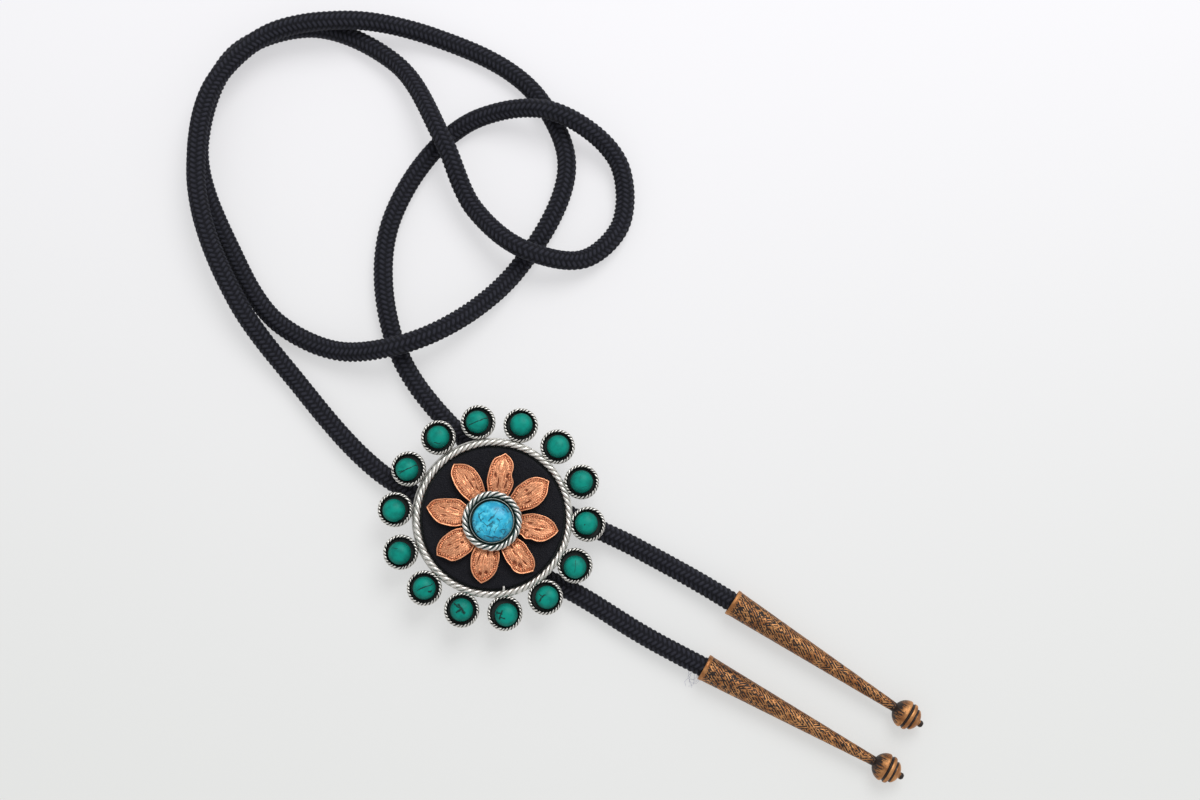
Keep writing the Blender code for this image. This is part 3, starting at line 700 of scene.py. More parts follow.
def silver_material(name, settings, dark_below, bright_above, tarnish=None, unevenness=0.3):
    """Old silver, with tarnish in the recesses."""
    material, tree, shader = new_material(name)
    place = object_place(tree)
    bright = use_group(tree, GROUPS["tarnish"], {
        "Proud": attribute_value(tree, "proud"), "Place": place, "Scale": 1800.0,
        "Unevenness": unevenness, "Dark Below": dark_below, "Bright Above": bright_above})["Bright"]
    cloud = noise_value(tree, place, 700.0, 3.0)
    dull = tuple(c * 0.72 for c in settings.silver)
    metal = mix_colours(tree, cloud, dull, tuple(settings.silver))
    tree.links.new(mix_colours(tree, bright, tuple(tarnish or settings.tarnish), metal), shader.inputs["Base Color"])
    rough = math_node(tree, "MULTIPLY_ADD", cloud, 0.25, 0.22)
    rough = math_node(tree, "ADD", rough, math_node(tree, "MULTIPLY", math_node(tree, "SUBTRACT", 1.0, bright), 0.3))
    tree.links.new(rough, shader.inputs["Roughness"])
    shader.inputs["Metallic"].default_value = 1.0
    height = use_group(tree, GROUPS["grain"], {
        "Place": place, "Dents": 1500.0, "Grains": 7000.0, "Share": 0.4})["Height"]
    tree.links.new(bump(tree, height, 0.5, 0.00004), shader.inputs["Normal"])
    return material


# Slide: silver

PLATE_SHIFT = Vector((0, 0.0005, 0))
PLATE_THICKNESS = 0.0008
# Radius, height above the back and how proud it stands
PLATE_PROFILE = [
    (0.0, 0.8, 0.3), (16.0, 0.8, 0.3), (18.8, 0.8, 0.2), (19.1, 0.8, 0.6), (19.28, 0.78, 0.7),
    (19.36, 0.7, 0.5), (19.38, 0.1, 0.4), (19.28, 0.0, 0.6), (10.0, 0.0, 0.8), (0.0, 0.0, 0.8),
]
CUP_PROFILE = [
    (0.0, 0.8, 0.0), (2.4, 0.8, 0.0), (3.1, 0.82, 0.0), (3.3, 0.95, 0.1), (3.8, 0.95, 0.2),
    (4.1, 0.85, 0.4), (4.17, 0.7, 0.8), (4.17, 0.12, 0.8), (4.05, 0.0, 0.7), (0.0, 0.0, 0.8),
]
# End of the rim's wire, which pokes inwards over the leather, in millimetres
RIM_WIRE_END = ((-12.8, -13.2, 9.3), (-12.2, -12.7, 9.9), (-11.7, -12.35, 10.2), (-11.4, -12.1, 10.2))
WIRE_END_RADIUS = 0.00030
CUP_BACK_LIFT = 0.0001
CUP_ROPE_LIFT = 0.0013
# Each cup's rope starts at another angle
CUP_ROPE_TURN = 2.4
RIM_LIFT = 0.00078
RECESS_GREY = (0.042, 0.047, 0.046)


def cup_places():
    """Middle of each small stone's back, in the order of the stones' names."""
    return [Vector(((low.x + high.x) / 2, (low.y + high.y) / 2, low.z)) for low, high in STONE_BOXES]


class BOLO_OT_setting(bpy.types.Operator):
    """Turns the slide's plate and cups and twists the silver ropes"""

    bl_idname = "bolo.setting"
    bl_label = "Silver setting"

    def execute(self, context):
        settings = context.scene.bolo_slide
        places = cup_places()

        plate = lathe_table("plate", PLATE_PROFILE, 128)
        cup = lathe_table("cup", CUP_PROFILE, 40)
        cup_rope = rope_mesh("cup_rope", settings.cup_rope_radius, settings.cup_rope, settings.cup_turns, 14, 6, 0.85)
        rim = rope_mesh("rim", settings.rim_radius, settings.rim_rope, settings.rim_turns, flatness=1.14)

        def beside(place, height):
            return Matrix.Translation((place.x, place.y, PLATE_BACK_Z + height))

        cups = [(cup, beside(place, CUP_BACK_LIFT)) for place in places]
        base = join_meshes("setting_plate", [(plate, beside(PLATE_SHIFT, 0))] + cups)
        ropes = join_meshes("cup_ropes", [
            (cup_rope, beside(place, CUP_ROPE_LIFT) @ Matrix.Rotation(CUP_ROPE_TURN * number, 4, "Z"))
            for number, place in enumerate(places)])
        end = wires_mesh("wire_end", [RIM_WIRE_END], WIRE_END_RADIUS, 10)
        rim = join_meshes("rim_rope", [(rim, beside(Vector(), PLATE_THICKNESS + RIM_LIFT)), (end, Matrix())])
        plain = silver_material("plate_silver", settings, 0.3, 0.9, RECESS_GREY)
        rope = silver_material("rope_silver", settings, -0.35, 0.95, unevenness=0.8)
        dark_rope = silver_material("cup_rope_silver", settings, 0.40, 0.80)
        add_piece("setting_plate", base, plain, ["setting"])
        add_piece("rim_rope", rim, rope, ["setting"])
        add_piece("cup_ropes", ropes, dark_rope, ["setting"])
        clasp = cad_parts["clasp"]
        clasp.data.materials[0] = silver_material("clasp_nickel", settings, -1.0, -0.5)
        return {"FINISHED"}


# Slide: leather

LEATHER_RINGS = 30
LEATHER_SEGMENTS = 120
LEATHER_EDGE = 0.0004


class BOLO_OT_leather(bpy.types.Operator):
    """Lays the black leather inside the rim"""

    bl_idname = "bolo.leather"
    bl_label = "Leather inlay"

    def execute(self, context):
        settings = context.scene.bolo_slide
        top, bottom = LEATHER_HIGH.z, LEATHER_LOW.z
        profile = [((LEATHER_RADIUS - LEATHER_EDGE) * i / LEATHER_RINGS, top) for i in range(LEATHER_RINGS + 1)]
        profile += [(LEATHER_RADIUS - 0.3 * LEATHER_EDGE, top - 0.3 * LEATHER_EDGE), (LEATHER_RADIUS, top - LEATHER_EDGE),
                    (LEATHER_RADIUS, bottom), (0.0, bottom)]

        def build(bm):
            lathe(bm, profile, LEATHER_SEGMENTS)
            for vertex in bm.verts:
                if vertex.co.z > top - LEATHER_EDGE / 2:
                    soft = noise.noise(vertex.co * 300.0) * 0.00005 + noise.noise(vertex.co * 900.0) * 0.00002
                    vertex.co.z += soft - 0.00003

        material, tree, shader = new_material("black_leather")
        place = object_place(tree)
        pores = add_node(tree, "ShaderNodeTexVoronoi", {"Vector": place, "Scale": 3600.0})
        cloud = noise_value(tree, place, 900.0, 3.0)
        colour = tuple(settings.leather)
        shade = mix_colours(tree, cloud, tuple(c * 0.6 for c in colour), tuple(c * 1.7 for c in colour))
        tree.links.new(shade, shader.inputs["Base Color"])
        grain = use_group(tree, GROUPS["grain"], {
            "Place": place, "Dents": 700.0, "Grains": 3200.0, "Share": 0.7})["Height"]
        height = math_node(tree, "MULTIPLY_ADD", pores.outputs["Distance"], 0.6, grain)
        tree.links.new(bump(tree, height, 1.0, 0.00018), shader.inputs["Normal"])
        shader.inputs["Roughness"].default_value = 0.48
        shader.inputs["Specular IOR Level"].default_value = 0.13
        add_piece("leather_disc", mesh_from("leather_disc", build), material, ["leather_inlay"])
        return {"FINISHED"}


# Slide: copper flower

PETAL_ALONG = 116
PETAL_ACROSS = 68
PETAL_RISE = 0.0006
PETAL_CUP = 0.00012
PETAL_LIFT = 0.0002
PETAL_ROOT_SHARE = 0.8
SHEET_THICKNESS = 0.0005
HUB_PROFILE = [(0.0, 0.5, 0.5), (6.2, 0.5, 0.5), (6.72, 0.5, 0.8), (6.9, 0.4, 0.9), (6.9, 0.1, 0.5),
               (6.8, 0.0, 0.5), (0.0, 0.0, 0.5)]
# Both sides of each petal from its root to its tip, in millimetres right and up of the flower's
# middle as the camera sees it
PETALS = [
    ([(-1.2, 7.9), (-1.4, 9.8), (-1.0, 12.0), (-0.4, 14.0), (0.4, 15.3), (1.9, 16.0), (3.0, 16.6)],
     [(4.4, 7.4), (5.0, 9.3), (4.6, 11.2), (5.0, 13.0), (4.9, 14.2), (4.1, 15.5), (3.0, 16.6)]),
    ([(4.9, 7.0), (5.5, 8.0), (6.8, 9.1), (8.7, 10.3), (10.4, 10.7), (12.1, 10.4), (13.6, 9.8)],
     [(7.5, 2.6), (9.0, 2.9), (10.9, 3.8), (12.3, 5.2), (13.1, 6.7), (13.4, 8.4), (13.6, 9.8)]),
    ([(7.2, 1.6), (9.2, 1.9), (11.4, 1.6), (13.3, 0.9), (14.8, -0.3), (15.9, -2.2)],
     [(6.9, -3.2), (7.8, -4.1), (9.3, -4.3), (10.7, -4.8), (12.2, -4.8), (13.8, -4.1), (15.3, -3.0), (15.9, -2.2)]),
    ([(6.3, -4.2), (7.5, -5.0), (8.6, -6.4), (9.3, -7.5), (10.1, -9.0), (10.3, -10.4), (9.9, -11.9)],
     [(2.2, -6.8), (2.8, -8.2), (3.6, -9.7), (4.5, -10.8), (5.1, -11.7), (6.7, -12.5), (8.6, -12.3), (9.9, -11.9)]),
    ([(1.6, -6.9), (1.8, -8.7), (1.5, -10.4), (1.1, -11.8), (0.0, -13.3), (-1.2, -14.2), (-2.6, -14.8)],
     [(-4.2, -6.4), (-4.9, -8.0), (-5.1, -9.9), (-4.9, -11.8), (-4.1, -13.4), (-2.6, -14.8)]),
    ([(-4.3, -5.9), (-4.9, -7.0), (-6.1, -8.0), (-7.7, -9.0), (-9.6, -9.5), (-11.3, -8.8), (-13.3, -8.1)],
     [(-7.2, -1.5), (-9.0, -1.9), (-10.9, -3.0), (-12.6, -4.7), (-13.3, -6.4), (-13.3, -8.1)]),
    ([(-7.1, -0.9), (-9.0, -1.2), (-11.2, -0.9), (-13.1, -0.2), (-14.7, 1.4), (-15.5, 2.6), (-16.0, 3.5)],
     [(-6.4, 4.1), (-7.9, 5.2), (-9.8, 5.5), (-12.0, 5.5), (-14.2, 5.2), (-16.0, 3.5)]),
    ([(-6.0, 5.2), (-7.2, 6.2), (-8.4, 7.6), (-9.5, 9.6), (-10.1, 11.5), (-9.9, 13.0), (-9.5, 14.0)],
     [(-1.9, 7.6), (-2.4, 9.3), (-3.4, 11.3), (-4.9, 13.0), (-6.6, 13.8), (-9.5, 14.0)]),
]
# Struck marks on each petal, which run outwards: right, up, half length and half width in
# millimetres, and depth, which is negative for a ridge
PETAL_MARKS = [
    [(0.6, 11.3, 0.9, 0.36, 0.24), (3.5, 10.9, 0.8, 0.36, 0.22), (2.3, 10.1, 2.7, 0.38, -0.20),
     (1.3, 9.3, 2.0, 0.26, 0.14), (3.2, 9.0, 1.6, 0.26, 0.14), (2.0, 13.2, 1.6, 0.61, -0.16)],
    [(8.1, 7.6, 0.5, 0.39, 0.22), (8.5, 4.7, 1.5, 0.26, 0.22), (7.4, 2.9, 1.0, 0.24, 0.16),
     (9.7, 5.9, 1.7, 0.32, -0.20), (6.8, 5.2, 1.5, 0.26, -0.18), (8.8, 6.8, 1.4, 0.24, 0.12)],
    [(9.0, -0.4, 0.9, 0.31, 0.22), (10.9, -2.0, 1.1, 0.31, 0.24), (8.1, -2.1, 1.0, 0.24, 0.16),
     (11.4, -0.7, 1.2, 0.31, -0.20), (9.3, -1.4, 1.6, 0.26, -0.18), (12.0, -1.4, 1.0, 0.24, 0.14)],
    [(5.5, -9.9, 1.1, 0.54, 0.26), (6.8, -10.6, 1.0, 0.49, 0.26), (7.9, -9.9, 1.0, 0.26, 0.18),
     (5.9, -6.1, 1.2, 0.31, -0.20), (6.8, -8.5, 1.5, 0.31, -0.20), (4.5, -5.9, 1.2, 0.24, 0.16),
     (5.4, -7.6, 1.4, 0.24, 0.14)],
    [(-2.9, -12.5, 0.6, 0.54, 0.26), (-1.4, -12.2, 0.6, 0.49, 0.26), (-1.0, -7.5, 1.3, 0.28, 0.22),
     (0.5, -7.6, 1.3, 0.28, 0.22), (-3.0, -11.7, 0.4, 0.36, -0.22), (-2.0, -9.9, 2.2, 0.31, -0.20),
     (-3.2, -9.0, 1.8, 0.24, 0.12)],
    [(-10.0, -5.4, 1.2, 0.31, 0.22), (-7.2, -5.0, 0.5, 0.36, 0.20), (-7.8, -3.6, 1.2, 0.29, -0.20),
     (-9.0, -4.8, 1.5, 0.26, -0.18), (-8.6, -6.4, 1.0, 0.22, 0.12)],
    [(-11.1, 2.4, 1.5, 0.31, -0.18), (-9.1, 3.2, 1.5, 0.24, 0.16), (-11.7, 1.5, 1.0, 0.26, 0.14),
     (-8.9, 1.6, 1.4, 0.24, -0.14), (-12.0, 3.4, 1.0, 0.22, 0.12)],
    [(-4.6, 10.1, 0.6, 0.39, 0.22), (-6.9, 9.2, 1.1, 0.31, -0.22), (-5.6, 7.0, 1.1, 0.26, -0.20),
     (-3.8, 8.1, 1.0, 0.24, 0.16), (-6.3, 10.5, 1.2, 0.24, 0.14), (-5.2, 8.9, 1.6, 0.24, 0.12)],
]
# From a petal's edge inwards: a plain rim, a row of struck ticks and the field
RIM_WIDTH = 0.00034
TICK_LINE = 0.00076
TICK_LENGTH = 0.00036
TICK_PITCH = 0.00062
FIELD_START = 0.00112
OUTLINE_STEP = 0.00002
UV_ACROSS = 0.0032
UV_ALONG = 0.0110


def petal_edge(points):
    """One side of a petal, evenly spaced from under the bezel to the tip."""
    line = [Vector((right * MM, up * MM, 0)) for right, up in points]
    line.insert(0, line[0] * PETAL_ROOT_SHARE)
    return smooth_curve(line, 16)


def petal_relief(edge, reach, place, marks):
    """Height of the stamped pattern at a place on a petal, and how proud it stands, with a painted highlight on each
    ridge and painted shade in each pit.

    Edge is the distance from the petal's outline, and reach the distance along the outline.
    """
    if edge < RIM_WIDTH:
        swell = math.sin(math.pi * (0.25 + 0.7 * edge / RIM_WIDTH))
        return 0.00014 * swell, 0.7 + 0.3 * swell
    height, shine = 0.0, 0.66
    if edge < FIELD_START:
        tick = math.cos(math.pi * reach / TICK_PITCH) ** 2
        tick *= ease(TICK_LENGTH, 0.4 * TICK_LENGTH, abs(edge - TICK_LINE))
        height, shine = 0.00022 * tick - 0.00006, 0.20 + 0.80 * tick
    for right, up, half_length, half_width, depth in marks:
        middle = Vector((right, up, 0))
        away = place / MM - middle
        outwards = middle.normalized()
        along = away.dot(outwards)
        across = away.cross(outwards).z
        share = 1 - math.hypot(along / half_length, across / half_width / (1.1 - 0.4 * along / half_length))
        if share > 0:
            share = ease(0.0, 0.6, share)
            height -= depth * MM * share
            # Painted light: a ridge is painted bright, as a highlight, and a pit dark, as shade in its hollow
            lit = 0.05 if depth > 0 else 1.0
            shine += (lit - shine) * share
    return height, shine


def build_petal(bm, sides, marks, seed):
    """A stamped petal in the camera's directions, closed on its back."""
    proud = depth_layer(bm)
    fan = bm.loops.layers.uv.new("fan")
    edges = [petal_edge(points) for points in sides]
    outline = evenly_spaced(edges[0] + edges[1][-2::-1], OUTLINE_STEP)
    nearest = KDTree(len(outline))
    for index, point in enumerate(outline):
        nearest.insert(point, index)
    nearest.balance()
    left, right = [evenly_spaced(edge, count=PETAL_ALONG) for edge in edges]
    bmesh.ops.create_grid(bm, x_segments=PETAL_ALONG, y_segments=PETAL_ACROSS, size=1)
    for face in bm.faces:
        for loop in face.loops:
            along, across = loop.vert.co.xy
            loop[fan].uv = (UV_ALONG * (along + 1) / 2, UV_ACROSS * across)
    lift = 0.0002 * noise.noise(seed)
    for vertex in bm.verts:
        along, across = (vertex.co.x + 1) / 2, vertex.co.y
        row = round(along * PETAL_ALONG)
        place = left[row].lerp(right[row], (across + 1) / 2)
        _, index, edge = nearest.find(place)
        relief, shine = petal_relief(edge, index * OUTLINE_STEP, place, marks)
        # The cross-section flattens towards the tip, where a row becomes one point
        spread = across * ease(1.0, 0.88, along)
        height = PETAL_RISE * math.sin(math.pi * along ** 0.9) + PETAL_CUP * spread * spread
        height += lift * along + 0.00010 * noise.noise(seed + Vector((along * 2.6, spread * 1.6, 3)))
        vertex.co = place + Vector((0, 0, height + relief + SHEET_THICKNESS))
        vertex[proud] = shine
    bmesh.ops.remove_doubles(bm, verts=bm.verts, dist=MERGE_DISTANCE / 20)
    rim = bmesh.ops.extrude_edge_only(bm, edges=[edge for edge in bm.edges if edge.is_boundary])["geom"]
    rim = [item for item in rim if isinstance(item, bmesh.types.BMVert)]
    bmesh.ops.translate(bm, verts=rim, vec=(0, 0, -SHEET_THICKNESS))
    back = bmesh.ops.holes_fill(bm, edges=[edge for edge in bm.edges if edge.is_boundary], sides=0)["faces"]
    bmesh.ops.triangulate(bm, faces=back)
    bmesh.ops.recalc_face_normals(bm, faces=bm.faces)


def copper_material(settings):
    """Bright stamped copper, brown in the struck places, with fine strokes along each petal."""
    material, tree, shader = new_material("rose_copper")
    place = object_place(tree)
    split = add_node(tree, "ShaderNodeSeparateXYZ", {
        "Vector": add_node(tree, "ShaderNodeUVMap", uv_map="fan").outputs["UV"]}).outputs
    mirrored = add_node(tree, "ShaderNodeCombineXYZ", {
        "X": split["X"], "Y": math_node(tree, "ABSOLUTE", split["Y"])}).outputs["Vector"]
    cut = use_group(tree, GROUPS["hatching"], {
        "Place": mirrored, "Pitch": 0.00050, "Slant": -0.20, "Mirrored": 0.0, "Leaves": 300.0})["Cut"]
    proud = attribute_value(tree, "proud")
    # The strokes stay off the plain rim and off the hub, which has no petal's own directions
    field = math_node(tree, "MULTIPLY", smooth_step(tree, proud, 0.95, 0.75), smooth_step(tree, split["X"], 0.0, 0.0003))
    cut = math_node(tree, "MULTIPLY", cut, field)
    bright = use_group(tree, GROUPS["tarnish"], {
        "Proud": math_node(tree, "MULTIPLY_ADD", cut, -0.34, proud), "Place": place, "Scale": 2200.0,
        "Unevenness": 0.2, "Dark Below": -0.05, "Bright Above": 0.60})["Bright"]
    cloud = noise_value(tree, place, 500.0, 3.0)
    colour = tuple(settings.copper)
    metal = mix_colours(tree, cloud, tuple(c * k for c, k in zip(colour, (0.88, 0.78, 0.70))), colour)
    tree.links.new(mix_colours(tree, bright, tuple(settings.copper_shade), metal), shader.inputs["Base Color"])
    shader.inputs["Metallic"].default_value = 1.0
    tree.links.new(math_node(tree, "MULTIPLY_ADD", cloud, 0.22, 0.22), shader.inputs["Roughness"])
    grain = use_group(tree, GROUPS["grain"], {
        "Place": place, "Dents": 1300.0, "Grains": 6000.0, "Share": 0.4})["Height"]
    height = math_node(tree, "MULTIPLY_ADD", cut, -1.2, math_node(tree, "MULTIPLY", grain, 0.5))
    tree.links.new(bump(tree, height, 0.9, 0.00009), shader.inputs["Normal"])
    return material


class BOLO_OT_flower(bpy.types.Operator):
    """Stamps the copper flower's petals"""

    bl_idname = "bolo.flower"
    bl_label = "Copper flower"

    def execute(self, context):
        middle = Matrix.Translation((FLOWER_CENTRE.x, FLOWER_CENTRE.y, FLOWER_LOW.z))
        camera_way = Matrix((PHOTO_RIGHT, PHOTO_UP, (0, 0, 1))).transposed().to_4x4()
        parts = [(lathe_table("hub", HUB_PROFILE, 96), middle)]
        for index, (sides, marks) in enumerate(zip(PETALS, PETAL_MARKS)):
            seed = Vector((index * 7.31, index * 3.17, 0))
            petal = mesh_from("petal", lambda bm: build_petal(bm, sides, marks, seed))
            parts.append((petal, middle @ Matrix.Translation((0, 0, PETAL_LIFT)) @ camera_way))
        mesh = join_meshes("copper_flower", parts)
        add_piece("copper_flower", mesh, copper_material(context.scene.bolo_slide), ["flower"])
        return {"FINISHED"}


# Slide: middle stone in its bezel

BEZEL_PROFILE = [
    (0.0, 0.7, 0.0), (4.9, 0.7, 0.0), (5.12, 0.7, 0.0), (5.14, 1.75, 0.2), (5.18, 1.95, 0.5), (5.28, 2.0, 0.62),
    (5.38, 1.9, 0.3), (5.46, 0.75, 0.0), (5.75, 0.6, 0.0), (6.5, 0.6, 0.2), (6.9, 0.5, 0.5), (6.9, 0.1, 0.5),
    (6.8, 0.0, 0.6), (0.0, 0.0, 0.6),
]
CENTRE_ROPE_LIFT = 0.00118
CENTRE_ROPE_SPREAD = 0.00012
# The stone is a little smaller than its bezel, and sits to one side in it
CENTRE_STONE_SHARE = 0.955
CENTRE_STONE_SHIFT = 0.00018


# Matrix lines on the blue stone, as on the green ones
BLUE_LINES = [
    ((-3.1, 1.7), (-2.5, -0.2), 0.20), ((-2.9, 1.4), (-1.6, 2.1), 0.15), ((-1.9, 0.5), (-2.6, -0.2), 0.15),
    ((-0.7, -0.2), (0.7, 1.0), 0.34), ((-1.0, -1.5), (0.3, -0.6), 0.24), ((-4.3, -1.7), (-2.6, -3.1), 0.16),
    ((-3.8, -3.0), (-1.9, -2.2), 0.12), ((-1.6, -3.6), (0.6, -4.3), 0.26), ((0.6, -4.1), (2.3, -4.2), 0.22),
    ((3.0, 3.2), (4.0, 2.0), 0.20), ((-3.6, 3.2), (-1.9, 4.3), 0.09), ((2.0, -2.5), (3.7, -2.1), 0.15),
    ((-2.5, -0.2), (-1.0, -1.4), 0.12), ((0.3, -0.6), (-0.4, -3.4), 0.14), ((0.7, 1.0), (1.6, 2.8), 0.08),
]


def matrix_lines(tree, place, middle, lines, wander):
    """Where dark lines cross a stone, each from one place to another in the camera's directions."""
    darkest = 0.0
    for start, end, width in lines:
        ends = [middle + (PHOTO_RIGHT * right + PHOTO_UP * up) * MM for right, up in (start, end)]
        line = use_group(tree, GROUPS["vein"], {
            "Place": place, "From": (ends[0].x, ends[0].y, 0), "To": (ends[1].x, ends[1].y, 0),
            "Width": width * MM, "Wander": wander})["Line"]
        darkest = math_node(tree, "MAXIMUM", darkest, line)
    return darkest


def dome_points(radius, height, girdle, steps):
    """Outline of a cabochon: a rounded girdle under a full dome."""
    points = []
    for step in range(steps + 1):
        angle = math.pi / 2 * step / steps
        points.append((radius * math.sin(angle), girdle + (height - girdle) * math.cos(angle) ** 0.9))
    return points + [(radius, girdle * 0.4), (radius * 0.98, 0.0), (0.0, 0.0)]


def stone_mesh(name, radius, height, girdle, place, segments, unevenness):
    """A cabochon that is not quite round."""
    def build(bm):
        lathe(bm, dome_points(radius, height, girdle, 14), segments)
        for vertex in bm.verts:
            flat = Vector((vertex.co.x, vertex.co.y, 0))
            vertex.co += flat * (unevenness * noise.noise(flat.normalized() * 0.9 + place * 700.0))
            vertex.co += place
    return mesh_from(name, build)


class BOLO_OT_centre(bpy.types.Operator):
    """Sets the blue stone in its bezel and rope"""

    bl_idname = "bolo.centre"
    bl_label = "Middle stone and bezel"

    def execute(self, context):
        settings = context.scene.bolo_slide
        middle = Vector((CENTRE.x, CENTRE.y, BEZEL_LOW.z))
        rope_radius = (BEZEL_HIGH.x - BEZEL_LOW.x) / 2 - settings.centre_rope + CENTRE_ROPE_SPREAD

        bezel = lathe_table("bezel", BEZEL_PROFILE, 96)
        rope = rope_mesh("rope", rope_radius, settings.centre_rope, settings.centre_turns)
        mesh = join_meshes("bezel_and_rope", [
            (bezel, Matrix.Translation(middle)),
            (rope, Matrix.Translation(middle + Vector((0, 0, CENTRE_ROPE_LIFT))))])
        silver = silver_material("bezel_silver", settings, 0.30, 0.90, settings.green_tarnish)
        add_piece("bezel_and_rope", mesh, silver, ["centre_bezel"])
        place = Vector((CENTRE.x, CENTRE.y, CENTRE_LOW.z)) + (PHOTO_RIGHT - PHOTO_UP) * CENTRE_STONE_SHIFT
        radius = (CENTRE_HIGH.x - CENTRE_LOW.x) / 2 * CENTRE_STONE_SHARE
        mesh = stone_mesh("blue_stone", radius, CENTRE_HIGH.z - CENTRE_LOW.z, 0.0010, place, 72, 0.01)
        add_piece("blue_stone", mesh, blue_material(settings), ["centre_stone"])
        return {"FINISHED"}


def blue_material(settings):
    """Bright blue turquoise with a broken net of grey-black matrix, painted darker towards its edge as shade."""
    material, tree, shader = new_material("blue_turquoise")
    place = object_place(tree)
    warp = add_node(tree, "ShaderNodeTexNoise", {"Vector": place, "Scale": 500.0, "Detail": 4.0})
    shift = vector_node(tree, "SUBTRACT", warp.outputs["Color"], (0.5, 0.5, 0.5)).outputs["Vector"]
    shift = add_node(tree, "ShaderNodeVectorMath", {0: shift, "Scale": 0.0022}, operation="SCALE").outputs["Vector"]
    bent = vector_node(tree, "ADD", place, shift).outputs["Vector"]
    net = add_node(tree, "ShaderNodeTexVoronoi", {"Vector": bent, "Scale": 520.0}, feature="DISTANCE_TO_EDGE")
    crack = smooth_step(tree, net.outputs["Distance"], 0.07, 0.0)
    fine = smooth_step(tree, noise_value(tree, bent, 1900.0, 5.0), 0.50, 0.62)
    stain = smooth_step(tree, noise_value(tree, place, 420.0, 3.0), 0.47, 0.60)
    dark = math_node(tree, "MULTIPLY", math_node(tree, "MAXIMUM", crack, math_node(tree, "MULTIPLY", fine, 0.6)), stain)
    dark = math_node(tree, "MAXIMUM", dark, matrix_lines(tree, place, CENTRE, BLUE_LINES, 0.0009))
    colour = tuple(settings.blue)
    pale = (0.12, 0.70, 0.90)
    deep = (0.014, 0.34, 0.56)
    cloud = noise_value(tree, bent, 300.0, 5.0)
    base = mix_colours(tree, smooth_step(tree, cloud, 0.30, 0.60), deep, colour)
    base = mix_colours(tree, smooth_step(tree, noise_value(tree, bent, 600.0, 3.0), 0.46, 0.72), base, pale)
    # Painted shade: the dome is painted darker towards its edge, where it turns away from the light
    away = vector_node(tree, "DISTANCE", vector_node(tree, "MULTIPLY", place, (1, 1, 0)).outputs["Vector"],
                       (CENTRE.x, CENTRE.y, 0)).outputs["Value"]
    rim = smooth_step(tree, away, 0.0036, 0.0053)
    base = mix_colours(tree, math_node(tree, "MULTIPLY", rim, 0.65), base, (0.004, 0.09, 0.17))
    base = mix_colours(tree, math_node(tree, "MULTIPLY", dark, 0.9), base, (0.006, 0.026, 0.042))
    tree.links.new(base, shader.inputs["Base Color"])
    shader.inputs["Roughness"].default_value = 0.3
    shader.inputs["Specular IOR Level"].default_value = 0.3
    shader.inputs["Coat Weight"].default_value = 0.12
    shader.inputs["Coat Roughness"].default_value = 0.15
    tree.links.new(bump(tree, dark, -0.3, 0.00003), shader.inputs["Normal"])
    return material


# Slide: small stones
# How far each stone sits from the middle of its cup, in millimetres right and up as the camera sees it
STONE_SHIFTS = [
    (-0.2, 0.0), (0.15, 0.15), (0.15, 0.0), (0.0, 0.0), (-0.35, 0.2), (0.0, -0.4), (0.4, 0.0),
    (0.35, -0.35), (0.0, 0.0), (0.0, 0.0), (-0.2, -0.25), (-0.25, -0.25), (-0.35, -0.2), (0.0, 0.1),
]
# Matrix lines on each stone, in millimetres right and up from its middle as the camera sees it:
# from, to, width
STONE_LINES = {
    1: [((-1.9, -0.9), (2.4, 0.8), 0.22)],
    4: [((0.2, -1.6), (1.2, -1.2), 0.08)],
    5: [((-0.5, -0.6), (-0.3, -0.4), 0.20)],
    6: [((0.0, -1.4), (0.2, 1.4), 0.10)],
    7: [((-1.7, -0.9), (-0.9, 0.2), 0.30), ((-1.0, 0.2), (-0.3, 0.5), 0.22), ((-0.9, 0.1), (-1.7, 0.6), 0.20)],
    8: [((-2.1, 0.4), (-0.9, 0.1), 0.36), ((-1.5, -0.9), (-0.8, 0.9), 0.32), ((-1.2, -0.6), (-0.2, -1.1), 0.22)],
    9: [((-0.5, 1.1), (0.8, -0.8), 0.52), ((0.1, 0.2), (-1.0, -0.7), 0.42), ((-1.7, 1.5), (-0.3, 0.3), 0.26)],
    10: [((-1.3, -0.6), (2.2, 0.9), 0.22), ((1.3, -1.0), (1.8, -0.8), 0.36)],
    11: [((-1.6, 1.2), (-0.4, 0.9), 0.09)],
    13: [((-1.5, -1.1), (2.4, 0.9), 0.18), ((-1.9, -0.6), (-0.7, -0.7), 0.18)],
    14: [((-0.8, -1.5), (0.6, -1.7), 0.16)],
}


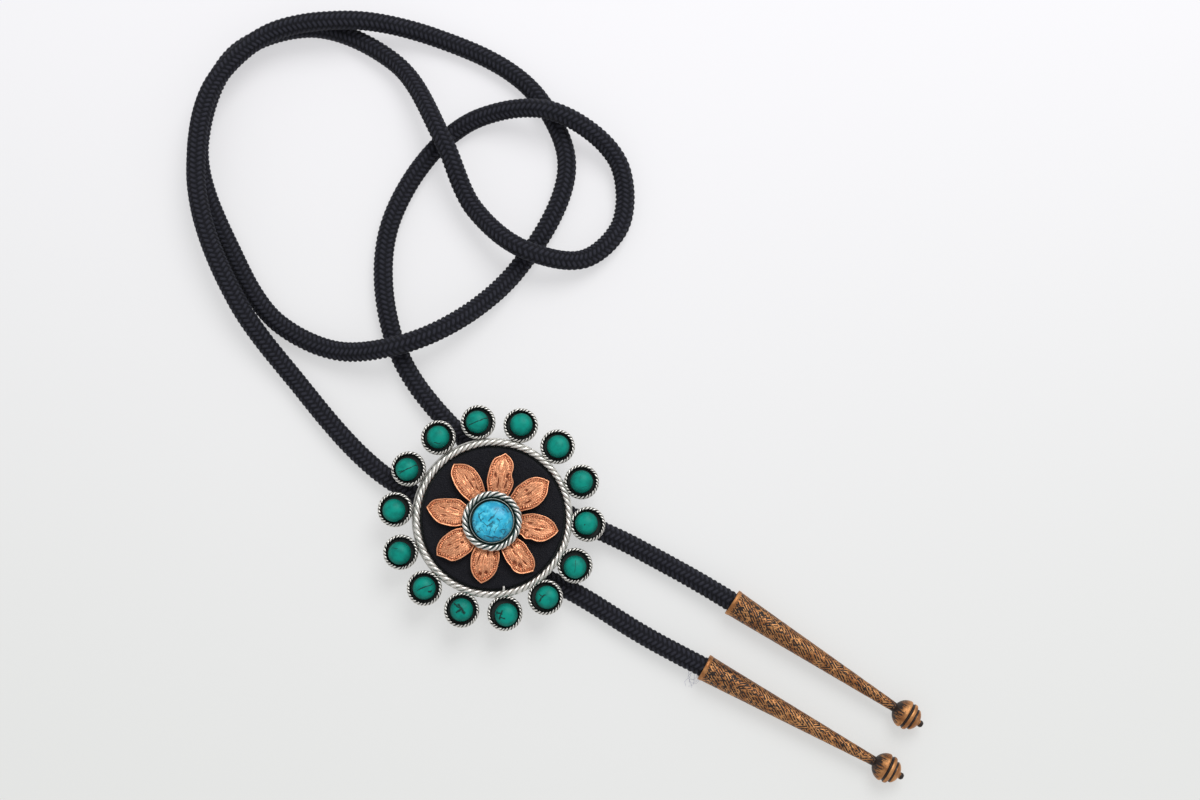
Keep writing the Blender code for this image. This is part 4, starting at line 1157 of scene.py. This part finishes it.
def green_material(name, number, middle, settings):
    """Matte green turquoise with the stone's own matrix lines, painted darker towards its edge as shade."""
    material, tree, shader = new_material(name)
    place = object_place(tree)
    colour = tuple(settings.green)
    tint = 1 + 0.10 * noise.noise(Vector((number * 1.7, 0, 0)))
    colour = tuple(min(1.0, c * tint) for c in colour)
    cloud = noise_value(tree, place, 620.0, 4.0)
    deep = tuple(c * k for c, k in zip(colour, (0.6, 0.70, 0.72)))
    base = mix_colours(tree, smooth_step(tree, cloud, 0.3, 0.6), deep, colour)
    specks = smooth_step(tree, noise_value(tree, place, 4200.0, 2.0), 0.66, 0.76)
    base = mix_colours(tree, math_node(tree, "MULTIPLY", specks, 0.25), base, (0.01, 0.08, 0.07))
    # Painted shade: the dome is painted darker towards its edge, where it turns away from the light
    away = vector_node(tree, "DISTANCE", vector_node(tree, "MULTIPLY", place, (1, 1, 0)).outputs["Vector"],
                       (middle.x, middle.y, 0)).outputs["Value"]
    rim = smooth_step(tree, away, settings.stone_radius * 0.55, settings.stone_radius * 1.02)
    base = mix_colours(tree, math_node(tree, "MULTIPLY", rim, 0.62), base, tuple(c * 0.22 for c in colour))
    lines = matrix_lines(tree, place, middle, STONE_LINES.get(number, []), 0.0006)
    base = mix_colours(tree, lines, base, (0.008, 0.014, 0.014))
    tree.links.new(base, shader.inputs["Base Color"])
    shader.inputs["Roughness"].default_value = 0.42
    shader.inputs["Specular IOR Level"].default_value = 0.14
    height = use_group(tree, GROUPS["grain"], {
        "Place": place, "Dents": 700.0, "Grains": 5000.0, "Share": 0.25})["Height"]
    tree.links.new(bump(tree, height, 0.3, 0.00004), shader.inputs["Normal"])
    return material


class BOLO_OT_stones(bpy.types.Operator):
    """Sets the small green stones in their cups"""

    bl_idname = "bolo.stones"
    bl_label = "Small stones"

    def execute(self, context):
        settings = context.scene.bolo_slide
        for number, (node, place, box) in enumerate(zip(STONE_NAMES, cup_places(), STONE_BOXES), 1):
            name = "green_" + node
            right, up = STONE_SHIFTS[number - 1]
            place += (PHOTO_RIGHT * right + PHOTO_UP * up) * MM
            mesh = stone_mesh(name, settings.stone_radius, box[1].z - box[0].z, 0.0006, place, 48, 0.02)
            add_piece(name, mesh, green_material(name, number, place, settings), [node])
        return {"FINISHED"}


# Tips

TIP_MOUTHS = {"tip_left": ((0.0023, -0.0621), math.radians(-81.8)),
              "tip_right": ((0.0190, -0.0583), math.radians(-86.0))}
TIP_SIDES = 96
TIP_ROW = 0.00030
TIP_BORE_RADIUS = 0.0028
TIP_BORE_DEPTH = 0.0072
LIP_LENGTH = 0.0008
LIP_STEP = 0.0001
NUB_RADIUS = 0.00085
NUB_LENGTH = 0.0011


def tip_profile(settings):
    """Bore, lip, cone, grooved ball and nub, from the mouth at height 0 downwards."""
    shoulder = settings.mouth_radius - LIP_STEP
    ball = settings.ball_radius
    neck_angle = math.asin(settings.neck_radius / ball)
    neck_start = settings.length - ball * math.cos(neck_angle)
    mouth = settings.mouth_radius
    profile = [(0.0, -TIP_BORE_DEPTH), (TIP_BORE_RADIUS, -TIP_BORE_DEPTH), (TIP_BORE_RADIUS, -0.0002),
               (TIP_BORE_RADIUS + 0.0001, 0.0), (mouth - 0.0001, 0.0), (mouth, -0.0001), (mouth, -LIP_LENGTH + 0.0001),
               (mouth - 0.00005, -LIP_LENGTH)]
    cone_start = LIP_LENGTH + 0.00015
    rows = round((neck_start - cone_start) / TIP_ROW)
    for row in range(rows + 1):
        share = row / rows
        radius = shoulder + (settings.neck_radius - shoulder) * share
        profile.append((radius, -cone_start - (neck_start - cone_start) * share))
    for degrees in range(22, 166, 2):
        angle = math.radians(degrees)
        radius = ball
        for groove in (93, 121):
            radius -= 0.00045 * math.exp(-((degrees - groove) / 6.0) ** 2)
        profile.append((radius * math.sin(angle), radius * math.cos(angle) - settings.length))
    nub_start = settings.length + ball * math.cos(math.asin(NUB_RADIUS / ball))
    profile += [(NUB_RADIUS * 0.8, -nub_start), (NUB_RADIUS, -nub_start - 0.0003),
                (NUB_RADIUS * 0.95, -nub_start - 0.7 * NUB_LENGTH), (NUB_RADIUS * 0.6, -nub_start - NUB_LENGTH),
                (0.0, -nub_start - NUB_LENGTH)]
    return profile


def build_tip(bm, settings, matrix, seed):
    """Turns a tip, dents its cone a little, paints shade towards the neck and on the nub, and lays out its skin for the
    engraving.
    """
    length, ball = settings.length, settings.ball_radius
    neck_start = length - ball * math.cos(math.asin(settings.neck_radius / ball))
    lathe(bm, tip_profile(settings), TIP_SIDES)
    skin = bm.loops.layers.uv.new("skin")
    for face in bm.faces:
        angles = [math.atan2(loop.vert.co.y, loop.vert.co.x) for loop in face.loops]
        crosses = max(angles) - min(angles) > math.pi
        for loop, angle in zip(face.loops, angles):
            if crosses and angle < 0:
                angle += TURN
            loop[skin].uv = (-loop.vert.co.z, angle * loop.vert.co.xy.length)
    proud = depth_layer(bm)
    for vertex in bm.verts:
        depth = -vertex.co.z
        flat = Vector((vertex.co.x, vertex.co.y, 0))
        if depth < LIP_LENGTH + 0.0001:
            vertex[proud] = 0.95
        elif depth < neck_start - 0.0001 and flat.length > settings.neck_radius * 0.98:
            # Painted shade: the cone is painted darker over its last stretch towards the neck
            vertex[proud] = 0.78 - 0.45 * ease(neck_start - 0.0025, neck_start, depth)
            dent = noise.noise(vertex.co * 1500 + seed) + 0.6 * noise.noise(vertex.co * 600 + seed)
            vertex.co -= flat.normalized() * settings.engraving * max(0.0, dent)
        elif depth < length + ball * 0.98:
            reach = (vertex.co - Vector((0, 0, -length))).length
            groove = ease(ball - 0.0003, ball - 0.00003, reach)
            neck_shade = ease(neck_start - 0.0002, neck_start + 0.0030, depth)
            vertex[proud] = groove * (0.25 + 0.70 * neck_shade)
        else:
            # Painted shade: the nub at the ball's end is painted dark
            vertex[proud] = 0.15
    bmesh.ops.transform(bm, verts=bm.verts, matrix=matrix)


def tip_material(settings):
    """Antique copper: rubbed bright on top, dark brown in the engraved strokes."""
    material, tree, shader = new_material("antique_copper")
    place = object_place(tree)
    proud = attribute_value(tree, "proud")
    skin = add_node(tree, "ShaderNodeUVMap", uv_map="skin").outputs["UV"]
    cut = use_group(tree, GROUPS["hatching"], {
        "Place": skin, "Pitch": 0.00072, "Slant": 0.62, "Mirrored": 0.12, "Leaves": 460.0})["Cut"]
    # Larger flecks of a leaf pattern, most of them near the mouth
    depth = add_node(tree, "ShaderNodeSeparateXYZ", {"Vector": skin}).outputs["X"]
    cone = math_node(tree, "MULTIPLY", smooth_step(tree, depth, LIP_LENGTH, LIP_LENGTH + 0.0004),
                     smooth_step(tree, depth, settings.length - 0.0028, settings.length - 0.0034))
    near = smooth_step(tree, depth, 0.022, 0.006)
    flecks = math_node(tree, "MULTIPLY_ADD", near, 0.045, noise_value(tree, skin, 1150.0, 3.0, 0.8))
    flecks = smooth_step(tree, flecks, 0.59, 0.64)
    cut = math_node(tree, "MULTIPLY", cone, math_node(tree, "MAXIMUM", cut, flecks))
    # The ball's side that meets the neck is brushed along the tip
    along = vector_node(tree, "MULTIPLY", skin, (0.25, 1, 0)).outputs["Vector"]
    brushed = smooth_step(tree, noise_value(tree, along, 2600.0, 2.0), 0.42, 0.58)
    ball = math_node(tree, "MULTIPLY", smooth_step(tree, depth, settings.length - 0.0034, settings.length - 0.0028),
                     smooth_step(tree, depth, settings.length + 0.0002, settings.length - 0.0012))
    cut = math_node(tree, "MAXIMUM", cut, math_node(tree, "MULTIPLY", math_node(tree, "MULTIPLY", brushed, ball), 0.45))
    bright = use_group(tree, GROUPS["tarnish"], {
        "Proud": math_node(tree, "MULTIPLY_ADD", cut, -0.85, proud), "Place": place, "Scale": 1500.0,
        "Unevenness": 0.5, "Dark Below": 0.22, "Bright Above": 0.66})["Bright"]
    cloud = noise_value(tree, place, 450.0, 4.0)
    copper = tuple(settings.copper)
    rubbed = mix_colours(tree, smooth_step(tree, cloud, 0.35, 0.65), tuple(c * k for c, k in zip(copper, (0.55, 0.46, 0.42))), copper)
    tree.links.new(mix_colours(tree, bright, tuple(settings.dark), rubbed), shader.inputs["Base Color"])
    tree.links.new(math_node(tree, "MULTIPLY_ADD", bright, 0.5, 0.35), shader.inputs["Metallic"])
    tree.links.new(math_node(tree, "MULTIPLY_ADD", cloud, 0.2, 0.36), shader.inputs["Roughness"])
    grain = use_group(tree, GROUPS["grain"], {
        "Place": place, "Dents": 2500.0, "Grains": 8000.0, "Share": 0.5})["Height"]
    height = math_node(tree, "MULTIPLY_ADD", cut, -1.6, math_node(tree, "MULTIPLY", grain, 0.5))
    tree.links.new(bump(tree, height, 0.7, 0.00008), shader.inputs["Normal"])
    return material


class BOLO_OT_tips(bpy.types.Operator):
    """Turns and engraves the two cone tips"""

    bl_idname = "bolo.tips"
    bl_label = "Cone tips"

    def execute(self, context):
        settings = context.scene.bolo_tip
        material = tip_material(settings)
        slope = math.asin((settings.ball_radius - settings.mouth_radius) / settings.length)
        for node, (mouth, heading) in TIP_MOUTHS.items():
            matrix = Matrix.Translation((*mouth, settings.mouth_radius)) @ Euler(
                (0, -math.pi / 2 - slope, heading)).to_matrix().to_4x4()
            seed = Vector((3.1, 1.7, 0.4)) if node == "tip_left" else Vector((9.2, 4.6, 2.8))
            mesh = mesh_from("engraved_" + node, lambda bm: build_tip(bm, settings, matrix, seed))
            add_piece("engraved_" + node, mesh, material, [node])
        return {"FINISHED"}


# Stage

PHOTO_RIGHT = Vector((0.6018, -0.7986, 0))
PHOTO_UP = Vector((0.7986, 0.6018, 0))
CAMERA_PLACE = Vector((-0.0123, -0.0416, 0.4115))
CAMERA_AIM = Vector((0.0398, -0.0024, 0))


def look_at(item, target, up):
    """Turns a camera or light so that it looks at a point with a chosen side up."""
    back = (item.location - target).normalized()
    right = up.cross(back).normalized()
    item.matrix_world = Matrix.Translation(item.location) @ Matrix(
        (right, back.cross(right), back)).transposed().to_4x4()


def add_light(name, place, size, power):
    light = bpy.data.lights.new(name, "AREA")
    light.shape = "DISK"
    light.size = size
    light.energy = power
    item = bpy.data.objects.new(name, light)
    bpy.context.scene.collection.objects.link(item)
    item.location = place
    look_at(item, CAMERA_AIM, PHOTO_UP)
    return item


class BOLO_OT_stage(bpy.types.Operator):
    """Sets up the floor, the camera and the light"""

    bl_idname = "bolo.stage"
    bl_label = "Floor, camera and light"

    def execute(self, context):
        settings = context.scene.bolo_stage
        scene = context.scene
        camera = bpy.data.objects.new("camera", bpy.data.cameras.new("camera"))
        camera.data.lens = settings.lens
        camera.data.sensor_width = 36.0
        camera.data.clip_start = 0.01
        camera.data.clip_end = 10.0
        scene.collection.objects.link(camera)
        camera.location = CAMERA_PLACE
        look_at(camera, CAMERA_AIM, PHOTO_UP)
        scene.camera = camera

        mesh = mesh_from("floor", lambda bm: bmesh.ops.create_grid(bm, x_segments=2, y_segments=2, size=3.0))
        material, tree, shader = new_material("floor")
        # Painted light: the floor is painted brightest on a line up the picture, a little right of the slide, and
        # darker towards the viewer and the sides, as the light falls off
        up = vector_node(tree, "DOT_PRODUCT", object_place(tree), tuple(PHOTO_UP)).outputs["Value"]
        right = vector_node(tree, "DOT_PRODUCT", object_place(tree), tuple(PHOTO_RIGHT)).outputs["Value"]
        share = smooth_step(tree, math_node(tree, "SUBTRACT", up, math_node(tree, "MULTIPLY", math_node(
            tree, "ABSOLUTE", math_node(tree, "SUBTRACT", right, 0.03)), 0.25)), -0.12, 0.17)
        colour = mix_colours(tree, share, tuple(settings.floor_near_shade), tuple(settings.floor))
        tree.links.new(mix_colours(tree, 1.0, colour, (settings.paper,) * 3, "MULTIPLY"), shader.inputs["Base Color"])
        # A lit table: part of the light comes through it, which leaves only faint shadows
        tree.links.new(colour, shader.inputs["Emission Color"])
        shader.inputs["Emission Strength"].default_value = settings.glow
        shader.inputs["Roughness"].default_value = 0.9
        shader.inputs["Specular IOR Level"].default_value = 0.1
        floor = bpy.data.objects.new("floor", mesh)
        mesh.materials.append(material)
        scene.collection.objects.link(floor)

        world = bpy.data.worlds.new("studio")
        world.use_nodes = True
        world.node_tree.nodes["Background"].inputs["Color"].default_value = (0.97, 0.98, 1.0, 1.0)
        world.node_tree.nodes["Background"].inputs["Strength"].default_value = settings.sky
        scene.world = world
        above = Vector((0, 0, 0.66))
        add_light("key_light", CAMERA_AIM + PHOTO_UP * 0.42 + PHOTO_RIGHT * 0.20 + above, 0.52, settings.key)
        scene.view_settings.view_transform = "Standard"
        return {"FINISHED"}


class BOLO_PT_panel(bpy.types.Panel):
    """Lists the tie's pieces"""

    bl_idname = "BOLO_PT_panel"
    bl_label = "Bolo Tie"
    bl_space_type = "VIEW_3D"
    bl_region_type = "UI"
    bl_category = "Bolo Tie"

    def draw(self, context):
        for operator in OPERATORS:
            self.layout.operator(operator.bl_idname)


OPERATORS = (BOLO_OT_stage, BOLO_OT_cord, BOLO_OT_setting, BOLO_OT_leather, BOLO_OT_flower,
             BOLO_OT_centre, BOLO_OT_stones, BOLO_OT_tips)
GROUPS = {}
SETTINGS = (("bolo_cord", BoloCordSettings), ("bolo_slide", BoloSlideSettings),
            ("bolo_tip", BoloTipSettings), ("bolo_stage", BoloStageSettings))


def register():
    for name, group in SETTINGS:
        bpy.utils.register_class(group)
        setattr(bpy.types.Scene, name, PointerProperty(type=group))
    for item in (*OPERATORS, BOLO_PT_panel):
        bpy.utils.register_class(item)


def unregister():
    for item in (BOLO_PT_panel, *OPERATORS):
        bpy.utils.unregister_class(item)
    for name, group in SETTINGS:
        delattr(bpy.types.Scene, name)
        bpy.utils.unregister_class(group)


def main():
    register()
    GROUPS.update(tarnish=tarnish_group(), grain=grain_group(), hatching=hatching_group(), vein=vein_group())
    for operator in OPERATORS:
        getattr(bpy.ops.bolo, operator.bl_idname.split(".")[1])()


if __name__ == "__main__":
    main()
